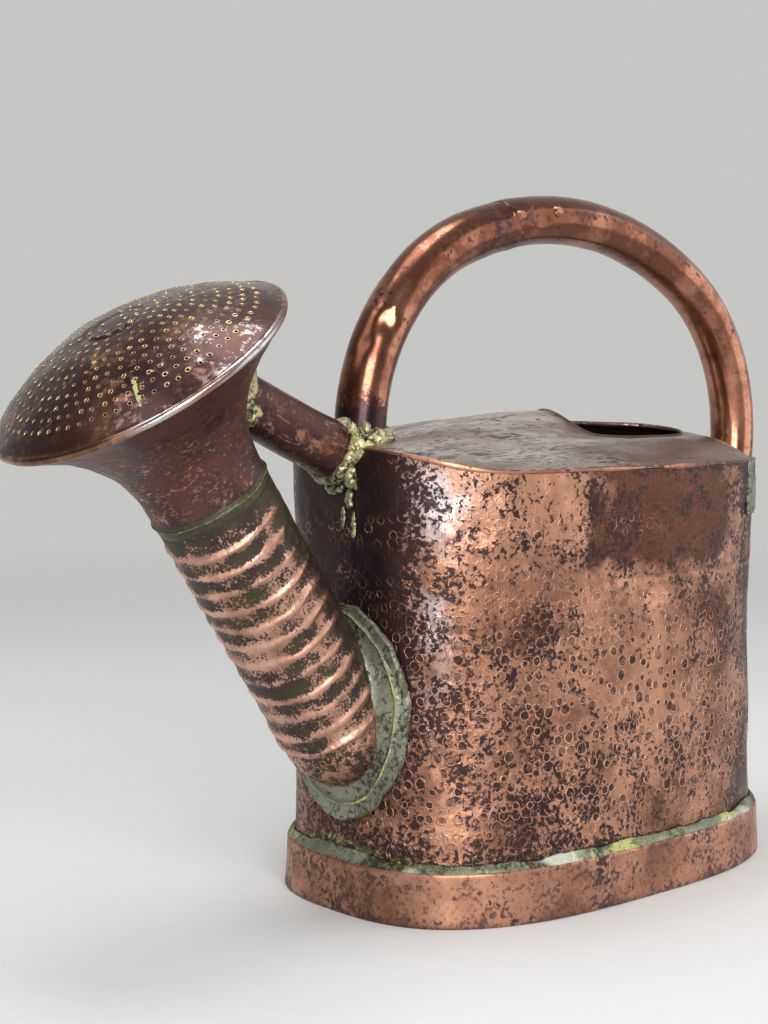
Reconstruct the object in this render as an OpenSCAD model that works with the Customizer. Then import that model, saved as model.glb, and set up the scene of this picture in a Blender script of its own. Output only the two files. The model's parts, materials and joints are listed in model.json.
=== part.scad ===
/* [Body] */
// Length of the oval body, nose to heel
body_l = 293.6; // [240:1:360]
// Width of the oval body
body_w = 181.2; // [150:1:220]
// Height of the body's rim above the ground
body_h = 235; // [190:1:285]
// Squareness of the oval: 2 is an ellipse, higher is boxier
oval_power = 2.83; // [2.2:0.05:3.4]
// Thickness of the copper sheet
sheet = 1.1; // [0.8:0.1:1.6]
// How far the rim is drawn up at the nose
nose_lift = 12.5; // [0:0.5:16]
// How far round the oval the raised nose reaches, each side
nose_spread = 60; // [40:5:80]
// Height of the wall's bottom edge and of the foot's sole above the ground
wall_lift = 2; // [0:0.5:6]
// Height of the bottom plate above the ground
bottom_lift = 8; // [4:1:16]

/* [Foot ring] */
// Height of the foot ring
foot_h = 28.5; // [20:0.5:40]
// Thickness of the foot ring
foot_t = 4; // [2.5:0.5:6]
// Height of the solder bead above the foot ring
foot_bead_h = 4.5; // [3:0.5:7]
// Bare ledge left on the foot ring outside the solder bead
foot_ledge = 0.4; // [0.2:0.1:1]

/* [Top plate and filling mouth] */
// Width of the flat border where the top plate sits on the wall
border_w = 3; // [2:0.5:5]
// Distance from the back of the mouth to the heel
mouth_back = 28.6; // [20:0.2:40]
// Length of the mouth
mouth_l = 104; // [80:1:112]
// Width of the mouth
mouth_w = 70; // [50:1:90]
// Height of the mouth's lip above the rim
lip_rise = 16; // [10:1:24]
// Extra height of the hood at the front of the mouth
hood_rise = 12; // [0:1:18]
// How far round the lip the hood reaches, each side
hood_spread = 50; // [30:5:70]
// How much the near side of the mouth is pressed down below the far side
lip_tilt = 3.5; // [0:0.5:6]
// Roundness of the top plate's dome, 1 is a straight cone
dome_power = 2.2; // [1.2:0.1:3]

/* [Handle] */
// Outer diameter of the handle tube
handle_d = 28; // [24:1:34]
// Distance from the nose to the near side of the front foot
foot_edge = 1.4; // [1:0.1:10]
// Lean of the tube at its front foot, from upright
foot_lean = 1.1; // [-3:0.1:5]
// Radius of the front bend
bend_1_r = 118; // [100:1:130]
// Sweep of the front bend
bend_1_a = 67.6; // [62:0.2:74]
// Distance from the heel to the centre of the rear limb, which sets the crown's radius
rear_reach = 36.95; // [30:0.05:50]
// Sweep of the crown
bend_2_a = 53; // [48:1:58]
// Radius of the rear bend
bend_3_r = 109; // [100:1:120]
// Sweep of the rear bend
bend_3_a = 66; // [62:1:70]
// Length of the straight rear limb
rear_drop = 30; // [10:1:50]
// Radius of the bend that brings the rear limb back to the wall
rear_return_r = 48; // [42:1:60]
// Sweep of the crown up to the joint of the two tubes
lap_at = 8; // [4:0.5:16]
// Sweep of the inner tube's spigot inside the outer tube
lap_a = 11; // [8:0.5:14]
// Sweep of the shoulder that ends the inner tube's wider bore
shoulder_a = 0.6; // [0.4:0.1:1]
// Gap between the spigot and the tube round it
lap_fit = 0.15; // [0.1:0.05:0.3]
// Sweep from each end of the lap to its rivet
rivet_edge_a = 1.6; // [1.4:0.1:2.4]
// Tilt of the rivets above level
rivet_tilt = 20; // [0:1:30]
// Diameter of the rivet heads
rivet_head_d = 7; // [5:0.5:9]
// Diameter of the flat on the rivet heads
rivet_flat_d = 4.2; // [3:0.1:5]
// Diameter of the rivet shanks
rivet_d = 3.5; // [2.5:0.5:4.5]
// Height of the rivet heads
rivet_head_h = 1.8; // [1:0.1:2.5]
// Gap between a rivet's shank and its hole
rivet_fit = 0.1; // [0.05:0.05:0.2]

/* [Spout] */
// Height at which the spout's axis meets the nose
spout_z = 99; // [90:1:110]
// Angle of the spout above level
spout_rise = 56.7; // [52:0.5:60]
// Outer radius of the spout tube
spout_r = 30.9; // [25:0.1:38]
// How far the top end of the spout's axis lies below the rim
spout_drop = 11.5; // [0:0.5:20]
// Number of raised hammered rings
ridges = 12; // [8:1:14]
// Height of the raised rings
ridge_h = 0.9; // [0.4:0.1:1.5]
// Length of the plain ends of the tube
plain_end = 6; // [5:0.5:9]
// Margin of the flange on each side of the spout
flange_side = 17.1; // [10:0.1:22]
// Margin of the flange above the spout
flange_above = 9.7; // [6:0.1:16]
// Margin of the flange below the spout
flange_below = 19.1; // [10:0.1:24]
// Thickness of the flange
flange_t = 1.6; // [1.2:0.2:2.4]
// Width of the raised solder line on the flange
flange_bead_w = 4; // [3:0.5:6]
// Height of the raised solder line on the flange
flange_bead_h = 1.6; // [1:0.2:2.4]
// Distance of the raised line from the flange's sides
line_side = 7.7; // [5:0.1:11]
// Distance of the raised line from the flange's ends
line_end = 5.8; // [4:0.1:8]

/* [Rose] */
// Length of the flared neck, from the spout to the rose's rim
neck_l = 74.5; // [68:0.5:82]
// Radius of the rose's rim
rose_r = 78.4; // [64:0.2:95]
// Height of the perforated dome
dome_h = 27; // [22:1:32]
// How late the neck flares, 1 is a straight cone
flare_power = 2.3; // [1.8:0.1:2.8]
// Radius of the rolled rim
roll_r = 2.2; // [1.8:0.1:3]
// Diameter of the spray holes
hole_d = 1.6; // [1.2:0.1:2.2]
// Least distance from the holes to the rolled rim
hole_margin = 9.5; // [4:0.5:14]
// Radius of the first ring of holes
hole_first = 7; // [6:0.5:9]
// Distance between rings of holes
hole_pitch = 5.4; // [5:0.1:5.6]
// Distance between holes in a ring
hole_gap = 6.2; // [5.6:0.2:8]
// Height of the solder bead between spout and neck
neck_bead_h = 1.6; // [1:0.2:2.4]
// Length of the solder bead between spout and neck
neck_bead_l = 7; // [5:0.5:9]

/* [Brace] */
// Diameter of the brace tube
brace_d = 30; // [26:1:32]
// Height of the brace's centre at the nose, above the rim
brace_up = 7.5; // [5:0.5:9]
// Angle of the brace above level
brace_rise = 24.2; // [22:0.2:27]
// Thickness of the brace's wall
brace_t = 1.2; // [0.8:0.1:1.6]

/* [Solder] */
// Width of the solder collars round the tube joints
collar_w = 6; // [4:0.5:8]
// Length of the solder collars along the tubes
collar_l = 12; // [8:1:16]
// Gap left under a tube's end for the solder
seat_gap = 0.1; // [0.05:0.05:0.2]
// Place of the patch round the oval, between the side and the heel
patch_turn = -50; // [-70:1:-30]
// Width of the patch on the wall's top edge near the heel
patch_w = 18; // [12:1:24]
// Height of the patch
patch_h = 22; // [14:1:30]
// Thickness of the patch
patch_t = 1; // [0.6:0.1:1.4]

/* [Hidden] */

oval_steps = 72; // facets round the oval, with one square across the nose and one across the heel
plate_rings = 8; // rings of facets between the border and the lip
arc_steps = 10; // straight steps that draw a quarter arc in a turned profile
tube_sides = 24; // facets round the handle's tubes
bend_step = 6; // degrees of a bend between two rings of a tube
far = 400; // longer than anything it cuts
$fn = 64;

nose_x = -body_l / 2;
heel_x = body_l / 2;
handle_r = handle_d / 2;
brace_r = brace_d / 2;
mouth_x = heel_x - mouth_back - mouth_l / 2;
mouth_front = body_l - mouth_back - mouth_l;
spout_l = (body_h - spout_drop - spout_z) / sin(spout_rise);
rose_s = spout_l + neck_l; // the rim's place along the spout axis

/* ---- the oval and its rim ---- */

// One point of the oval at the angle t, with both half axes longer by grow
function power_of(v) = sign(v) * pow(abs(v), 2 / oval_power);
function oval_at(t, grow = 0) =
    [(body_l / 2 + grow) * power_of(cos(t)), (body_w / 2 + grow) * power_of(sin(t))];
function oval_turn(i) = (i + 0.5) * 360 / oval_steps;
function oval(grow = 0) = [for (i = [0 : oval_steps - 1]) oval_at(oval_turn(i), grow)];
function swell(t, centre, spread) =
    abs(t - centre) < spread ? (1 + cos(180 * (t - centre) / spread)) / 2 : 0;
function rim_z(t) = body_h + nose_lift * swell(t, 180, nose_spread);

module oval_prism(grow = 0, from_z = -far, to_z = far) {
    translate([0, 0, from_z]) linear_extrude(to_z - from_z) polygon(oval(grow));
}

// A closed skin through rings of points, joined end to end into a tube with a wall
module ring_skin(rings) {
    count = len(rings);
    size = len(rings[0]);
    points = [for (ring = rings) each ring];
    faces = [
        for (j = [0 : count - 1]) for (i = [0 : size - 1])
            let (a = j * size + i, b = j * size + (i + 1) % size, jn = (j + 1) % count)
            let (c = jn * size + (i + 1) % size, d = jn * size + i)
            each [[a, b, c], [a, c, d]]
    ];
    polyhedron(points, faces, convexity = 8);
}

/* ---- body ---- */

function wall_ring(grow, top) = [
    for (i = [0 : oval_steps - 1])
        let (t = oval_turn(i), p = oval_at(t, grow))
        [p.x, p.y, top ? rim_z(t) - sheet : wall_lift]
];

module body_wall() {
    color("#a8674a") difference() {
        ring_skin([
            wall_ring(-sheet, false), wall_ring(-sheet, true),
            wall_ring(0, true), wall_ring(0, false),
        ]);
        along_spout() spout_bore();
    }
}

module bottom_plate() {
    color("#7d4a38") oval_prism(-sheet, bottom_lift, bottom_lift + sheet);
}

module foot_ring() {
    color("#b8765a") difference() {
        oval_prism(foot_t, 0, foot_h);
        oval_prism(0);
    }
}

// A fillet with a three-sided section, lying on the foot ring against the wall
module foot_solder() {
    inner = [for (p = oval()) [p.x, p.y, foot_h]];
    upper = [for (p = oval()) [p.x, p.y, foot_h + foot_bead_h]];
    outer = [for (p = oval(foot_t - foot_ledge)) [p.x, p.y, foot_h]];
    color("#8f9a62") ring_skin([inner, upper, outer]);
}

module wall_patch() {
    p = oval_at(patch_turn);
    color("#8b8f88") intersection() {
        difference() {
            oval_prism(patch_t);
            oval_prism(0);
        }
        translate([p.x, p.y, body_h - sheet - patch_h]) rotate([0, 0, patch_turn])
            translate([-patch_w, -patch_w / 2, 0]) cube([2 * patch_w, patch_w, patch_h]);
    }
}

/* ---- top plate ---- */

function lip_z(t) = body_h + lip_rise + hood_rise * swell(t, 180, hood_spread) + lip_tilt * sin(t);
function lip_at(t) = [mouth_x + mouth_l / 2 * cos(t), mouth_w / 2 * sin(t)];

// A point of the plate's upper side, u going from 0 at the border to 1 at the lip
function plate_at(u, t) =
    let (p = (1 - u) * oval_at(t, -border_w) + u * lip_at(t), k = 1 - pow(1 - u, dome_power))
    [p.x, p.y, (1 - k) * rim_z(t) + k * lip_z(t)];

function plate_ring(u, drop) = [
    for (i = [0 : oval_steps - 1]) plate_at(u, oval_turn(i)) - [0, 0, drop]
];
function edge_ring(drop) = [
    for (i = [0 : oval_steps - 1])
        let (t = oval_turn(i), p = oval_at(t))
        [p.x, p.y, rim_z(t) - drop]
];

module top_plate() {
    upper = [for (k = [0 : plate_rings]) plate_ring(k / plate_rings, 0)];
    under = [for (k = [0 : plate_rings]) plate_ring(1 - k / plate_rings, sheet)];
    color("#8c6a58") ring_skin(concat([edge_ring(sheet)], [edge_ring(0)], upper, under));
}

// The plane in which the handle's front foot rests on the plate: place and slope at the plate's ridge
foot_inset = handle_r + foot_edge;
foot_x = nose_x + foot_inset;
ridge_u = (foot_inset - border_w) / (mouth_front - border_w);
ridge_z = plate_at(ridge_u, 180).z;
ridge_step = 0.01;
ridge_slope = (plate_at(ridge_u + ridge_step, 180).z - plate_at(ridge_u - ridge_step, 180).z)
    / (2 * ridge_step * (mouth_front - border_w));
function foot_rest_z(x) = max(ridge_z + ridge_slope * (x - foot_x), body_h + nose_lift) + seat_gap;

/* ---- handle ---- */

// Each bend is [centre x, centre z, radius, first heading]: headings are from upright, towards the heel
function bend_from(p, heading, r) = [p[0] + r * cos(heading), p[1] - r * sin(heading), r, heading];
function bend_point(b, turn) = [b[0] - b[2] * cos(b[3] + turn), b[1] + b[2] * sin(b[3] + turn)];

// The crown's radius brings the rear limb to its distance from the heel
heading_1 = foot_lean + bend_1_a;
heading_2 = heading_1 + bend_2_a;
limb_heading = heading_2 + bend_3_a;
bend_2_r = (heel_x + rear_reach - foot_x - bend_1_r * (cos(foot_lean) - cos(heading_1))
    - bend_3_r * (cos(heading_2) - cos(limb_heading))) / (cos(heading_1) - cos(heading_2));

bend_1 = bend_from([foot_x, ridge_z + seat_gap], foot_lean, bend_1_r);
bend_2 = bend_from(bend_point(bend_1, bend_1_a), heading_1, bend_2_r);
bend_3 = bend_from(bend_point(bend_2, bend_2_a), heading_2, bend_3_r);
limb_top = bend_point(bend_3, bend_3_a);
limb_end = limb_top + rear_drop * [sin(limb_heading), cos(limb_heading)];
bend_4 = bend_from(limb_end, limb_heading, rear_return_r);
// The last bend runs until the tube's centre meets the flat facet at the heel
heel_face_x = oval_at(oval_turn(0)).x;
end_heading = 360 - acos((bend_4[0] - heel_face_x) / rear_return_r);
end_step = 15; // degrees from the last square ring to the slanted end

// A station is [x, z, heading], and its hoop is the ring of points round the tube there
function station(b, turn) = [each bend_point(b, turn), b[3] + turn];
function stations(b, from_a, to_a) =
    let (steps = ceil((to_a - from_a) / bend_step))
    [for (k = [0 : steps]) station(b, from_a + (to_a - from_a) * k / steps)];
function hoop(s, r) = [
    for (i = [0 : tube_sides - 1])
        let (a = 360 * i / tube_sides)
        [s[0] + r * cos(a) * cos(s[2]), r * sin(a), s[1] - r * cos(a) * sin(s[2])]
];
function hoop_on_plate(s, r) = [for (p = hoop(s, r)) [p.x, p.y, foot_rest_z(p.x)]];
function hoop_on_heel(s, r) = [
    for (p = hoop(s, r))
        let (slide = (heel_face_x - p.x) / sin(s[2]))
        [heel_face_x, p.y, p.z + slide * cos(s[2])]
];
function tail(list) = [for (k = [1 : len(list) - 1]) list[k]];
function reversed(list) = [for (k = [len(list) - 1 : -1 : 0]) list[k]];

foot_station = station(bend_1, 0);
front_stations = concat(tail(stations(bend_1, 0, bend_1_a)), tail(stations(bend_2, 0, lap_at)));
spigot_stations = stations(bend_2, lap_at, lap_at + lap_a);
heel_station = [heel_face_x, bend_point(bend_4, end_heading - limb_heading)[1], end_heading];
rear_stations = concat(
    stations(bend_2, lap_at, bend_2_a),
    tail(stations(bend_3, 0, bend_3_a)),
    [[each limb_end, limb_heading]],
    tail(stations(bend_4, 0, end_heading - limb_heading - end_step))
);

// Rivet axes cross the wall on the near side of the crown, a little above its middle
rivet_turns = [lap_at + rivet_edge_a, lap_at + lap_a - rivet_edge_a];

module at_rivet(turn) {
    p = bend_point(bend_2, turn);
    translate([p[0], 0, p[1]]) rotate([0, heading_1 + turn - 90, 0])
        rotate([90 - rivet_tilt, 0, 0]) children();
}

module rivet_holes() {
    for (turn = rivet_turns)
        at_rivet(turn) cylinder(h = handle_d, d = rivet_d + 2 * rivet_fit);
}

// The front tube narrows to a spigot inside the rear one, with its shoulder one sheet thick
module handle_front_tube() {
    spigot_r = handle_r - sheet - lap_fit;
    bore_r = handle_r - sheet;
    shoulder = station(bend_2, lap_at - shoulder_a);
    color("#b5704f") difference() {
        ring_skin(concat(
            [hoop_on_plate(foot_station, handle_r)],
            [for (s = front_stations) hoop(s, handle_r)],
            [for (s = spigot_stations) hoop(s, spigot_r)],
            [for (s = reversed(spigot_stations)) hoop(s, spigot_r - sheet)],
            [hoop(shoulder, spigot_r - sheet), hoop(shoulder, bore_r)],
            [for (k = [len(front_stations) - 2 : -1 : 0]) hoop(front_stations[k], bore_r)],
            [hoop_on_plate(foot_station, bore_r)]
        ));
        rivet_holes();
    }
}

module handle_rear_tube() {
    color("#a5623f") difference() {
        ring_skin(concat(
            [for (s = rear_stations) hoop(s, handle_r)],
            [hoop_on_heel(heel_station, handle_r)],
            [hoop_on_heel(heel_station, handle_r - sheet)],
            [for (s = reversed(rear_stations)) hoop(s, handle_r - sheet)]
        ));
        rivet_holes();
    }
}

module handle_rivets() {
    grip = 2 * sheet + lap_fit;
    color("#c9a27c") for (turn = rivet_turns)
        at_rivet(turn) {
            translate([0, 0, handle_r - grip - rivet_head_h / 2])
                cylinder(h = grip + rivet_head_h / 2, d = rivet_d);
            // the head starts just clear of the round tube's crest
            translate([0, 0, handle_r])
                cylinder(h = rivet_head_h, d1 = rivet_head_d, d2 = rivet_flat_d);
        }
}

/* ---- spout ---- */

module along_spout() {
    translate([nose_x, 0, spout_z]) rotate([0, spout_rise - 90, 0]) children();
}

// The tube's outer radius at the place s along it, with the hammered rings in its middle stretch
ridged_from = plain_end;
ridged_l = spout_l - 2 * plain_end;
function spout_at(s) =
    spout_r + ridge_h * (1 - cos(360 * ridges * (s - ridged_from) / ridged_l)) / 2;

steps_a_ridge = 6;
ridge_steps = ridges * steps_a_ridge;
function heel_arc(r) = [for (k = [0 : arc_steps]) let (a = 90 * k / arc_steps) [r * sin(a), -r * cos(a)]];
spout_outline = concat(
    heel_arc(spout_r),
    [[spout_r, ridged_from]],
    [for (k = [1 : ridge_steps - 1]) let (s = ridged_from + ridged_l * k / ridge_steps) [spout_at(s), s]],
    [[spout_r, spout_l - plain_end], [spout_r, spout_l]]
);
bore_r = spout_r - sheet;
bore_outline = heel_arc(bore_r);

module spout_outside() {
    rotate_extrude() polygon(concat(spout_outline, [[0, spout_l]]));
}

module spout_bore() {
    rotate_extrude() polygon(concat(bore_outline, [[bore_r, spout_l + 1], [0, spout_l + 1]]));
}

module spout_tube() {
    color("#a06048") difference() {
        along_spout() rotate_extrude()
            polygon(concat(spout_outline, [[bore_r, spout_l]], reversed(bore_outline)));
        oval_prism(0);
    }
}

// The flange keeps its margins round the oval where the spout meets the nose
flange_top = spout_z + spout_r / cos(spout_rise) + flange_above;
flange_foot = spout_z - spout_r - flange_below;
flange_w = 2 * (spout_r + flange_side);
flange_h = flange_top - flange_foot;

// An upright oval slab through the nose, which cuts the flange's outline out of a skin over the wall
module nose_oval(w, h) {
    steps = 48;
    translate([nose_x - far / 2, 0, (flange_top + flange_foot) / 2]) rotate([90, 0, 90])
        linear_extrude(far) polygon([
            for (i = [0 : steps - 1]) [w / 2 * cos(360 * i / steps), h / 2 * sin(360 * i / steps)]
        ]);
}

module nose_skin(from_grow, to_grow) {
    intersection() {
        difference() {
            oval_prism(to_grow, wall_lift, body_h);
            oval_prism(from_grow);
        }
        translate([nose_x - far / 2, -far / 2, 0]) cube([far, far, far]);
    }
}

module spout_flange() {
    color("#7c8468") difference() {
        intersection() {
            nose_skin(0, flange_t);
            nose_oval(flange_w, flange_h);
        }
        along_spout() spout_outside();
    }
}

module spout_flange_solder() {
    line_w = flange_w - 2 * line_side;
    line_h = flange_h - 2 * line_end;
    color("#a9ad6e") difference() {
        intersection() {
            nose_skin(flange_t, flange_t + flange_bead_h);
            nose_oval(line_w, line_h);
        }
        nose_oval(line_w - 2 * flange_bead_w, line_h - 2 * flange_bead_w);
        along_spout() spout_outside();
    }
}

/* ---- rose ---- */

// The rolled rim is drawn with twelve sides, and the neck's edge meets the flat one below
roll_sides = 12;
neck_top = rose_s - roll_r * cos(180 / roll_sides);
neck_steps = 20;
flare_from = spout_l + plain_end;
flare_l = neck_top - flare_from;
flare_r = rose_r - roll_r - spout_r;
function neck_at(s) =
    s < flare_from ? spout_r : spout_r + flare_r * pow((s - flare_from) / flare_l, flare_power);
function neck_place(k) = flare_from + flare_l * k / neck_steps;
function neck_slope(s) =
    s <= flare_from ? 0
    : flare_power * flare_r / flare_l * pow((s - flare_from) / flare_l, flare_power - 1);
neck_outline = concat(
    [[spout_r, spout_l]],
    [for (k = [0 : neck_steps]) [neck_at(neck_place(k)), neck_place(k)]]
);
function neck_inner(s) = neck_at(s) - sheet * sqrt(1 + pow(neck_slope(s), 2));

module rose_neck() {
    color("#5a3a30") along_spout() rotate_extrude() polygon(concat(
        neck_outline,
        [for (k = [neck_steps : -1 : 0]) [neck_inner(neck_place(k)), neck_place(k)]],
        [[bore_r, spout_l]]
    ));
}

module neck_outside() {
    rotate_extrude() polygon(concat(neck_outline, [[0, neck_top], [0, spout_l]]));
}

// The dome is part of a ball, cut off where it runs into the rolled rim
cap_r = rose_r - roll_r;
ball_r = (pow(cap_r, 2) + pow(dome_h - roll_r, 2)) / (2 * (dome_h - roll_r));
ball_s = rose_s + dome_h - ball_r;
hole_rings = 1 + floor((cap_r - hole_margin - hole_first) / hole_pitch);

module rose_face() {
    color("#4d3430") along_spout() union() {
        difference() {
            translate([0, 0, ball_s]) sphere(ball_r, $fn = 200);
            translate([0, 0, ball_s]) sphere(ball_r - sheet, $fn = 200);
            translate([0, 0, rose_s - far]) cylinder(h = far, r = far);
            spray_holes();
            difference() {
                translate([0, 0, rose_s - 1]) cylinder(h = far, r = far);
                translate([0, 0, rose_s - 2]) cylinder(h = far + 4, r = cap_r);
            }
        }
        rotate_extrude($fn = 128) translate([cap_r, 0]) translate([0, rose_s])
            rotate(180 / roll_sides) circle(roll_r, $fn = roll_sides);
    }
}

module spray_holes() {
    hole_l = 3 * sheet;
    for (ring = [0 : hole_rings - 1]) {
        r = hole_first + hole_pitch * ring;
        count = round(2 * PI * r / hole_gap);
        for (i = [0 : count - 1])
            translate([0, 0, ball_s]) rotate([0, asin(r / ball_r), 360 * i / count])
                translate([0, 0, ball_r - 2 * sheet]) cylinder(h = hole_l, d = hole_d, $fn = 16);
    }
}

module neck_solder() {
    bead = [
        for (k = [0 : arc_steps]) let (a = -90 + 180 * k / arc_steps)
            [spout_r + neck_bead_h * cos(a), spout_l + neck_bead_l / 2 * sin(a)]
    ];
    color("#9ca36a") along_spout() rotate_extrude() polygon(bead);
}

/* ---- brace ---- */

brace_z = body_h + brace_up;

module along_brace() {
    translate([nose_x, 0, brace_z]) rotate([0, brace_rise - 90, 0]) children();
}

// Is the brace's centre still clear of the neck at the distance d from the nose?
function brace_clear(d) =
    let (out = d * cos(brace_rise), up = brace_z - spout_z + d * sin(brace_rise))
    up * cos(spout_rise) - out * sin(spout_rise) > neck_at(out * cos(spout_rise) + up * sin(spout_rise));
function brace_meets(lo, hi, tries = 16) =
    let (mid = (lo + hi) / 2)
    tries == 0 ? mid
    : brace_clear(mid) ? brace_meets(mid, hi, tries - 1)
    : brace_meets(lo, mid, tries - 1);
brace_l = brace_meets(0, neck_l + spout_l / 2);

module brace_rod(r, from_l = -brace_d, to_l = brace_l + brace_r) {
    along_brace() translate([0, 0, from_l]) cylinder(h = to_l - from_l, r = r);
}

// The space ahead of the nose's flat facet and behind the neck, where the brace's parts lie
module brace_space() {
    intersection() {
        translate([oval_at(oval_turn(oval_steps / 2)).x - far, -far / 2, 0]) cube(far);
        along_spout() translate([0, -far / 2, 0]) cube(far);
    }
}

module brace_tube() {
    color("#7a5142") difference() {
        intersection() {
            brace_rod(brace_r);
            brace_space();
        }
        brace_rod(brace_r - brace_t, -2 * brace_d, brace_l + 2 * brace_d);
        along_spout() neck_outside();
    }
}

module brace_neck_solder() {
    color("#6f7a52") difference() {
        intersection() {
            along_brace() translate([0, 0, brace_l - collar_l])
                cylinder(h = 2 * collar_l, r1 = brace_r + 1, r2 = brace_r + 2 * collar_w);
            brace_space();
        }
        brace_rod(brace_r);
        along_spout() neck_outside();
    }
}

/* ---- solder at the handle's feet ---- */

// One mass: a collar round the handle's foot and another round the brace's end
module handle_front_solder() {
    wide_r = handle_r + collar_w;
    slim_r = handle_r + 1;
    color("#a5a873") difference() {
        union() {
            ring_skin([
                hoop_on_plate(foot_station, handle_r), hoop(front_stations[0], handle_r),
                hoop(front_stations[0], slim_r), hoop_on_plate(foot_station, wide_r),
            ]);
            intersection() {
                along_brace() translate([0, 0, -brace_d])
                    cylinder(h = collar_l + brace_d, r1 = brace_r + 2 * collar_w, r2 = brace_r + 1);
                brace_space();
            }
        }
        brace_rod(brace_r);
    }
}

module handle_rear_solder() {
    square = rear_stations[len(rear_stations) - 1];
    color("#8f8a5c") ring_skin([
        hoop(square, handle_r), hoop_on_heel(heel_station, handle_r),
        hoop_on_heel(heel_station, handle_r + collar_w), hoop(square, handle_r + 1),
    ]);
}

body_wall();
bottom_plate();
foot_ring();
foot_solder();
top_plate();
wall_patch();
handle_front_tube();
handle_rear_tube();
handle_rivets();
handle_front_solder();
handle_rear_solder();
spout_tube();
spout_flange();
spout_flange_solder();
rose_neck();
rose_face();
neck_solder();
brace_tube();
brace_neck_solder();
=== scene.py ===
"""Copper watering can: shaped surfaces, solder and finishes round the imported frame."""

import functools
import json
import math

import bmesh
import bpy
import numpy as np
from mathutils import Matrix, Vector

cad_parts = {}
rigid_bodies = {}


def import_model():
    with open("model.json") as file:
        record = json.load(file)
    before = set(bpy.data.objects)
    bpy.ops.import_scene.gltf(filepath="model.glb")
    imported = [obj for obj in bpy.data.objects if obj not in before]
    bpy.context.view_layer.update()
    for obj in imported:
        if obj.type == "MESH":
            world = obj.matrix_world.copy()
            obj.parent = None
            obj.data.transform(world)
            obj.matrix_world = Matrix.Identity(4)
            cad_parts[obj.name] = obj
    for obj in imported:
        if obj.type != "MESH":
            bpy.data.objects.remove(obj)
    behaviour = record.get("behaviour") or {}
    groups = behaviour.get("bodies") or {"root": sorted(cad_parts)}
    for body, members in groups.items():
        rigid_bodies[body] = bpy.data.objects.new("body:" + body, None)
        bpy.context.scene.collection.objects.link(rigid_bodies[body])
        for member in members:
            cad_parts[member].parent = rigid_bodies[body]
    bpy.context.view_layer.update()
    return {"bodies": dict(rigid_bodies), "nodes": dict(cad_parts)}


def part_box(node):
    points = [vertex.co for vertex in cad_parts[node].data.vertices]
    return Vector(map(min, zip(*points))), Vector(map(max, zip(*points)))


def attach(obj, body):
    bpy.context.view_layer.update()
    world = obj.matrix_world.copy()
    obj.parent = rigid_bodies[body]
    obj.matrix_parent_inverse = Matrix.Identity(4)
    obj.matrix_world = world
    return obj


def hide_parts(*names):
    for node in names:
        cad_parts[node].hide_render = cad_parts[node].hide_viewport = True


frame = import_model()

bl_info = {
    "name": "Copper watering can",
    "version": (1, 0, 0),
    "blender": (4, 5, 0),
    "location": "3D View > Sidebar > Copper can",
    "description": "Builds the beaten copper surfaces, solder and finishes of an oval watering can",
    "category": "Add Mesh",
}

# one millimetre, the rose's sheet, the background's colour and the place that the lamps point at
MM = 0.001
SHEET = 0.0011
BACKDROP = (0.565, 0.565, 0.555, 1)
AIM = Vector((-0.05, 0, 0.18))
ROOT = "root" if "root" in frame["bodies"] else sorted(frame["bodies"])[0]
WALL_LOW, WALL_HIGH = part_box("body_wall")
FOOT_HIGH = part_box("foot_ring")[1]


# ---- numbers that vary smoothly


def lattice(ix, iy, iz, seed):
    """A repeatable number from 0 to 1 at each whole-numbered point: its three numbers are mixed by
    multiplying and folding bits."""
    n = (ix * 73856093) ^ (iy * 19349663) ^ (iz * 83492791) ^ (seed * 2246822519)
    n = ((n ^ (n >> 13)) * 1274126177) & 0xFFFFFFFF
    n = ((n ^ (n >> 16)) * 2654435761) & 0xFFFFFFFF
    return ((n ^ (n >> 15)) & 0xFFFFFF) / 0xFFFFFF


def cloud(p, size, seed):
    """Smooth noise from -1 to 1: the lattice's eight numbers round each point, blended by the cube curve."""
    q = np.asarray(p, float) / size
    base = np.floor(q).astype(np.int64)
    f = q - base
    f = f * f * (3 - 2 * f)
    total = 0
    for corner in range(8):
        dx, dy, dz = corner & 1, corner >> 1 & 1, corner >> 2
        weight = (
            (f[..., 0] if dx else 1 - f[..., 0])
            * (f[..., 1] if dy else 1 - f[..., 1])
            * (f[..., 2] if dz else 1 - f[..., 2])
        )
        total = total + weight * lattice(base[..., 0] + dx, base[..., 1] + dy, base[..., 2] + dz, seed)
    return 2 * total - 1


def clouds(p, size, seed, octaves=2):
    """A sum of clouds, each half as wide and half as strong as the one before."""
    return sum(cloud(p, size / 2**k, seed + k) / 2**k for k in range(octaves))


def ramp(x, low, high):
    """0 below low, 1 above high, and an even curve between."""
    t = np.clip((np.asarray(x, float) - low) / (high - low), 0, 1)
    return t * t * (3 - 2 * t)


def bump(x, centre, width):
    """A bell: 1 at the centre, falling by e for each square of the distance over the width."""
    return np.exp(-(((x - centre) / width) ** 2))


def nearest_mark(u, v, pitch, seed, wrap=0, jitter=0.7):
    """Distance from each point to the nearest of a jittered grid of marks, and that mark's own number.
    Each square of the grid holds one mark, so the nine squares round a point hold the nearest."""
    iu, iv = np.floor(u / pitch).astype(np.int64), np.floor(v / pitch).astype(np.int64)
    best = np.full(np.shape(u), 1e9)
    own = np.zeros(np.shape(u))
    for du in (-1, 0, 1):
        for dv in (-1, 0, 1):
            cu, cv = iu + du, iv + dv
            ku = cu % wrap if wrap else cu
            x = (cu + 0.5 + jitter * (lattice(ku, cv, 0 * cu, seed) - 0.5)) * pitch
            y = (cv + 0.5 + jitter * (lattice(ku, cv, 0 * cu + 1, seed) - 0.5)) * pitch
            d = np.hypot(u - x, v - y)
            nearer = d < best
            best = np.where(nearer, d, best)
            own = np.where(nearer, lattice(ku, cv, 0 * cu + 2, seed), own)
    return best, own


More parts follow.
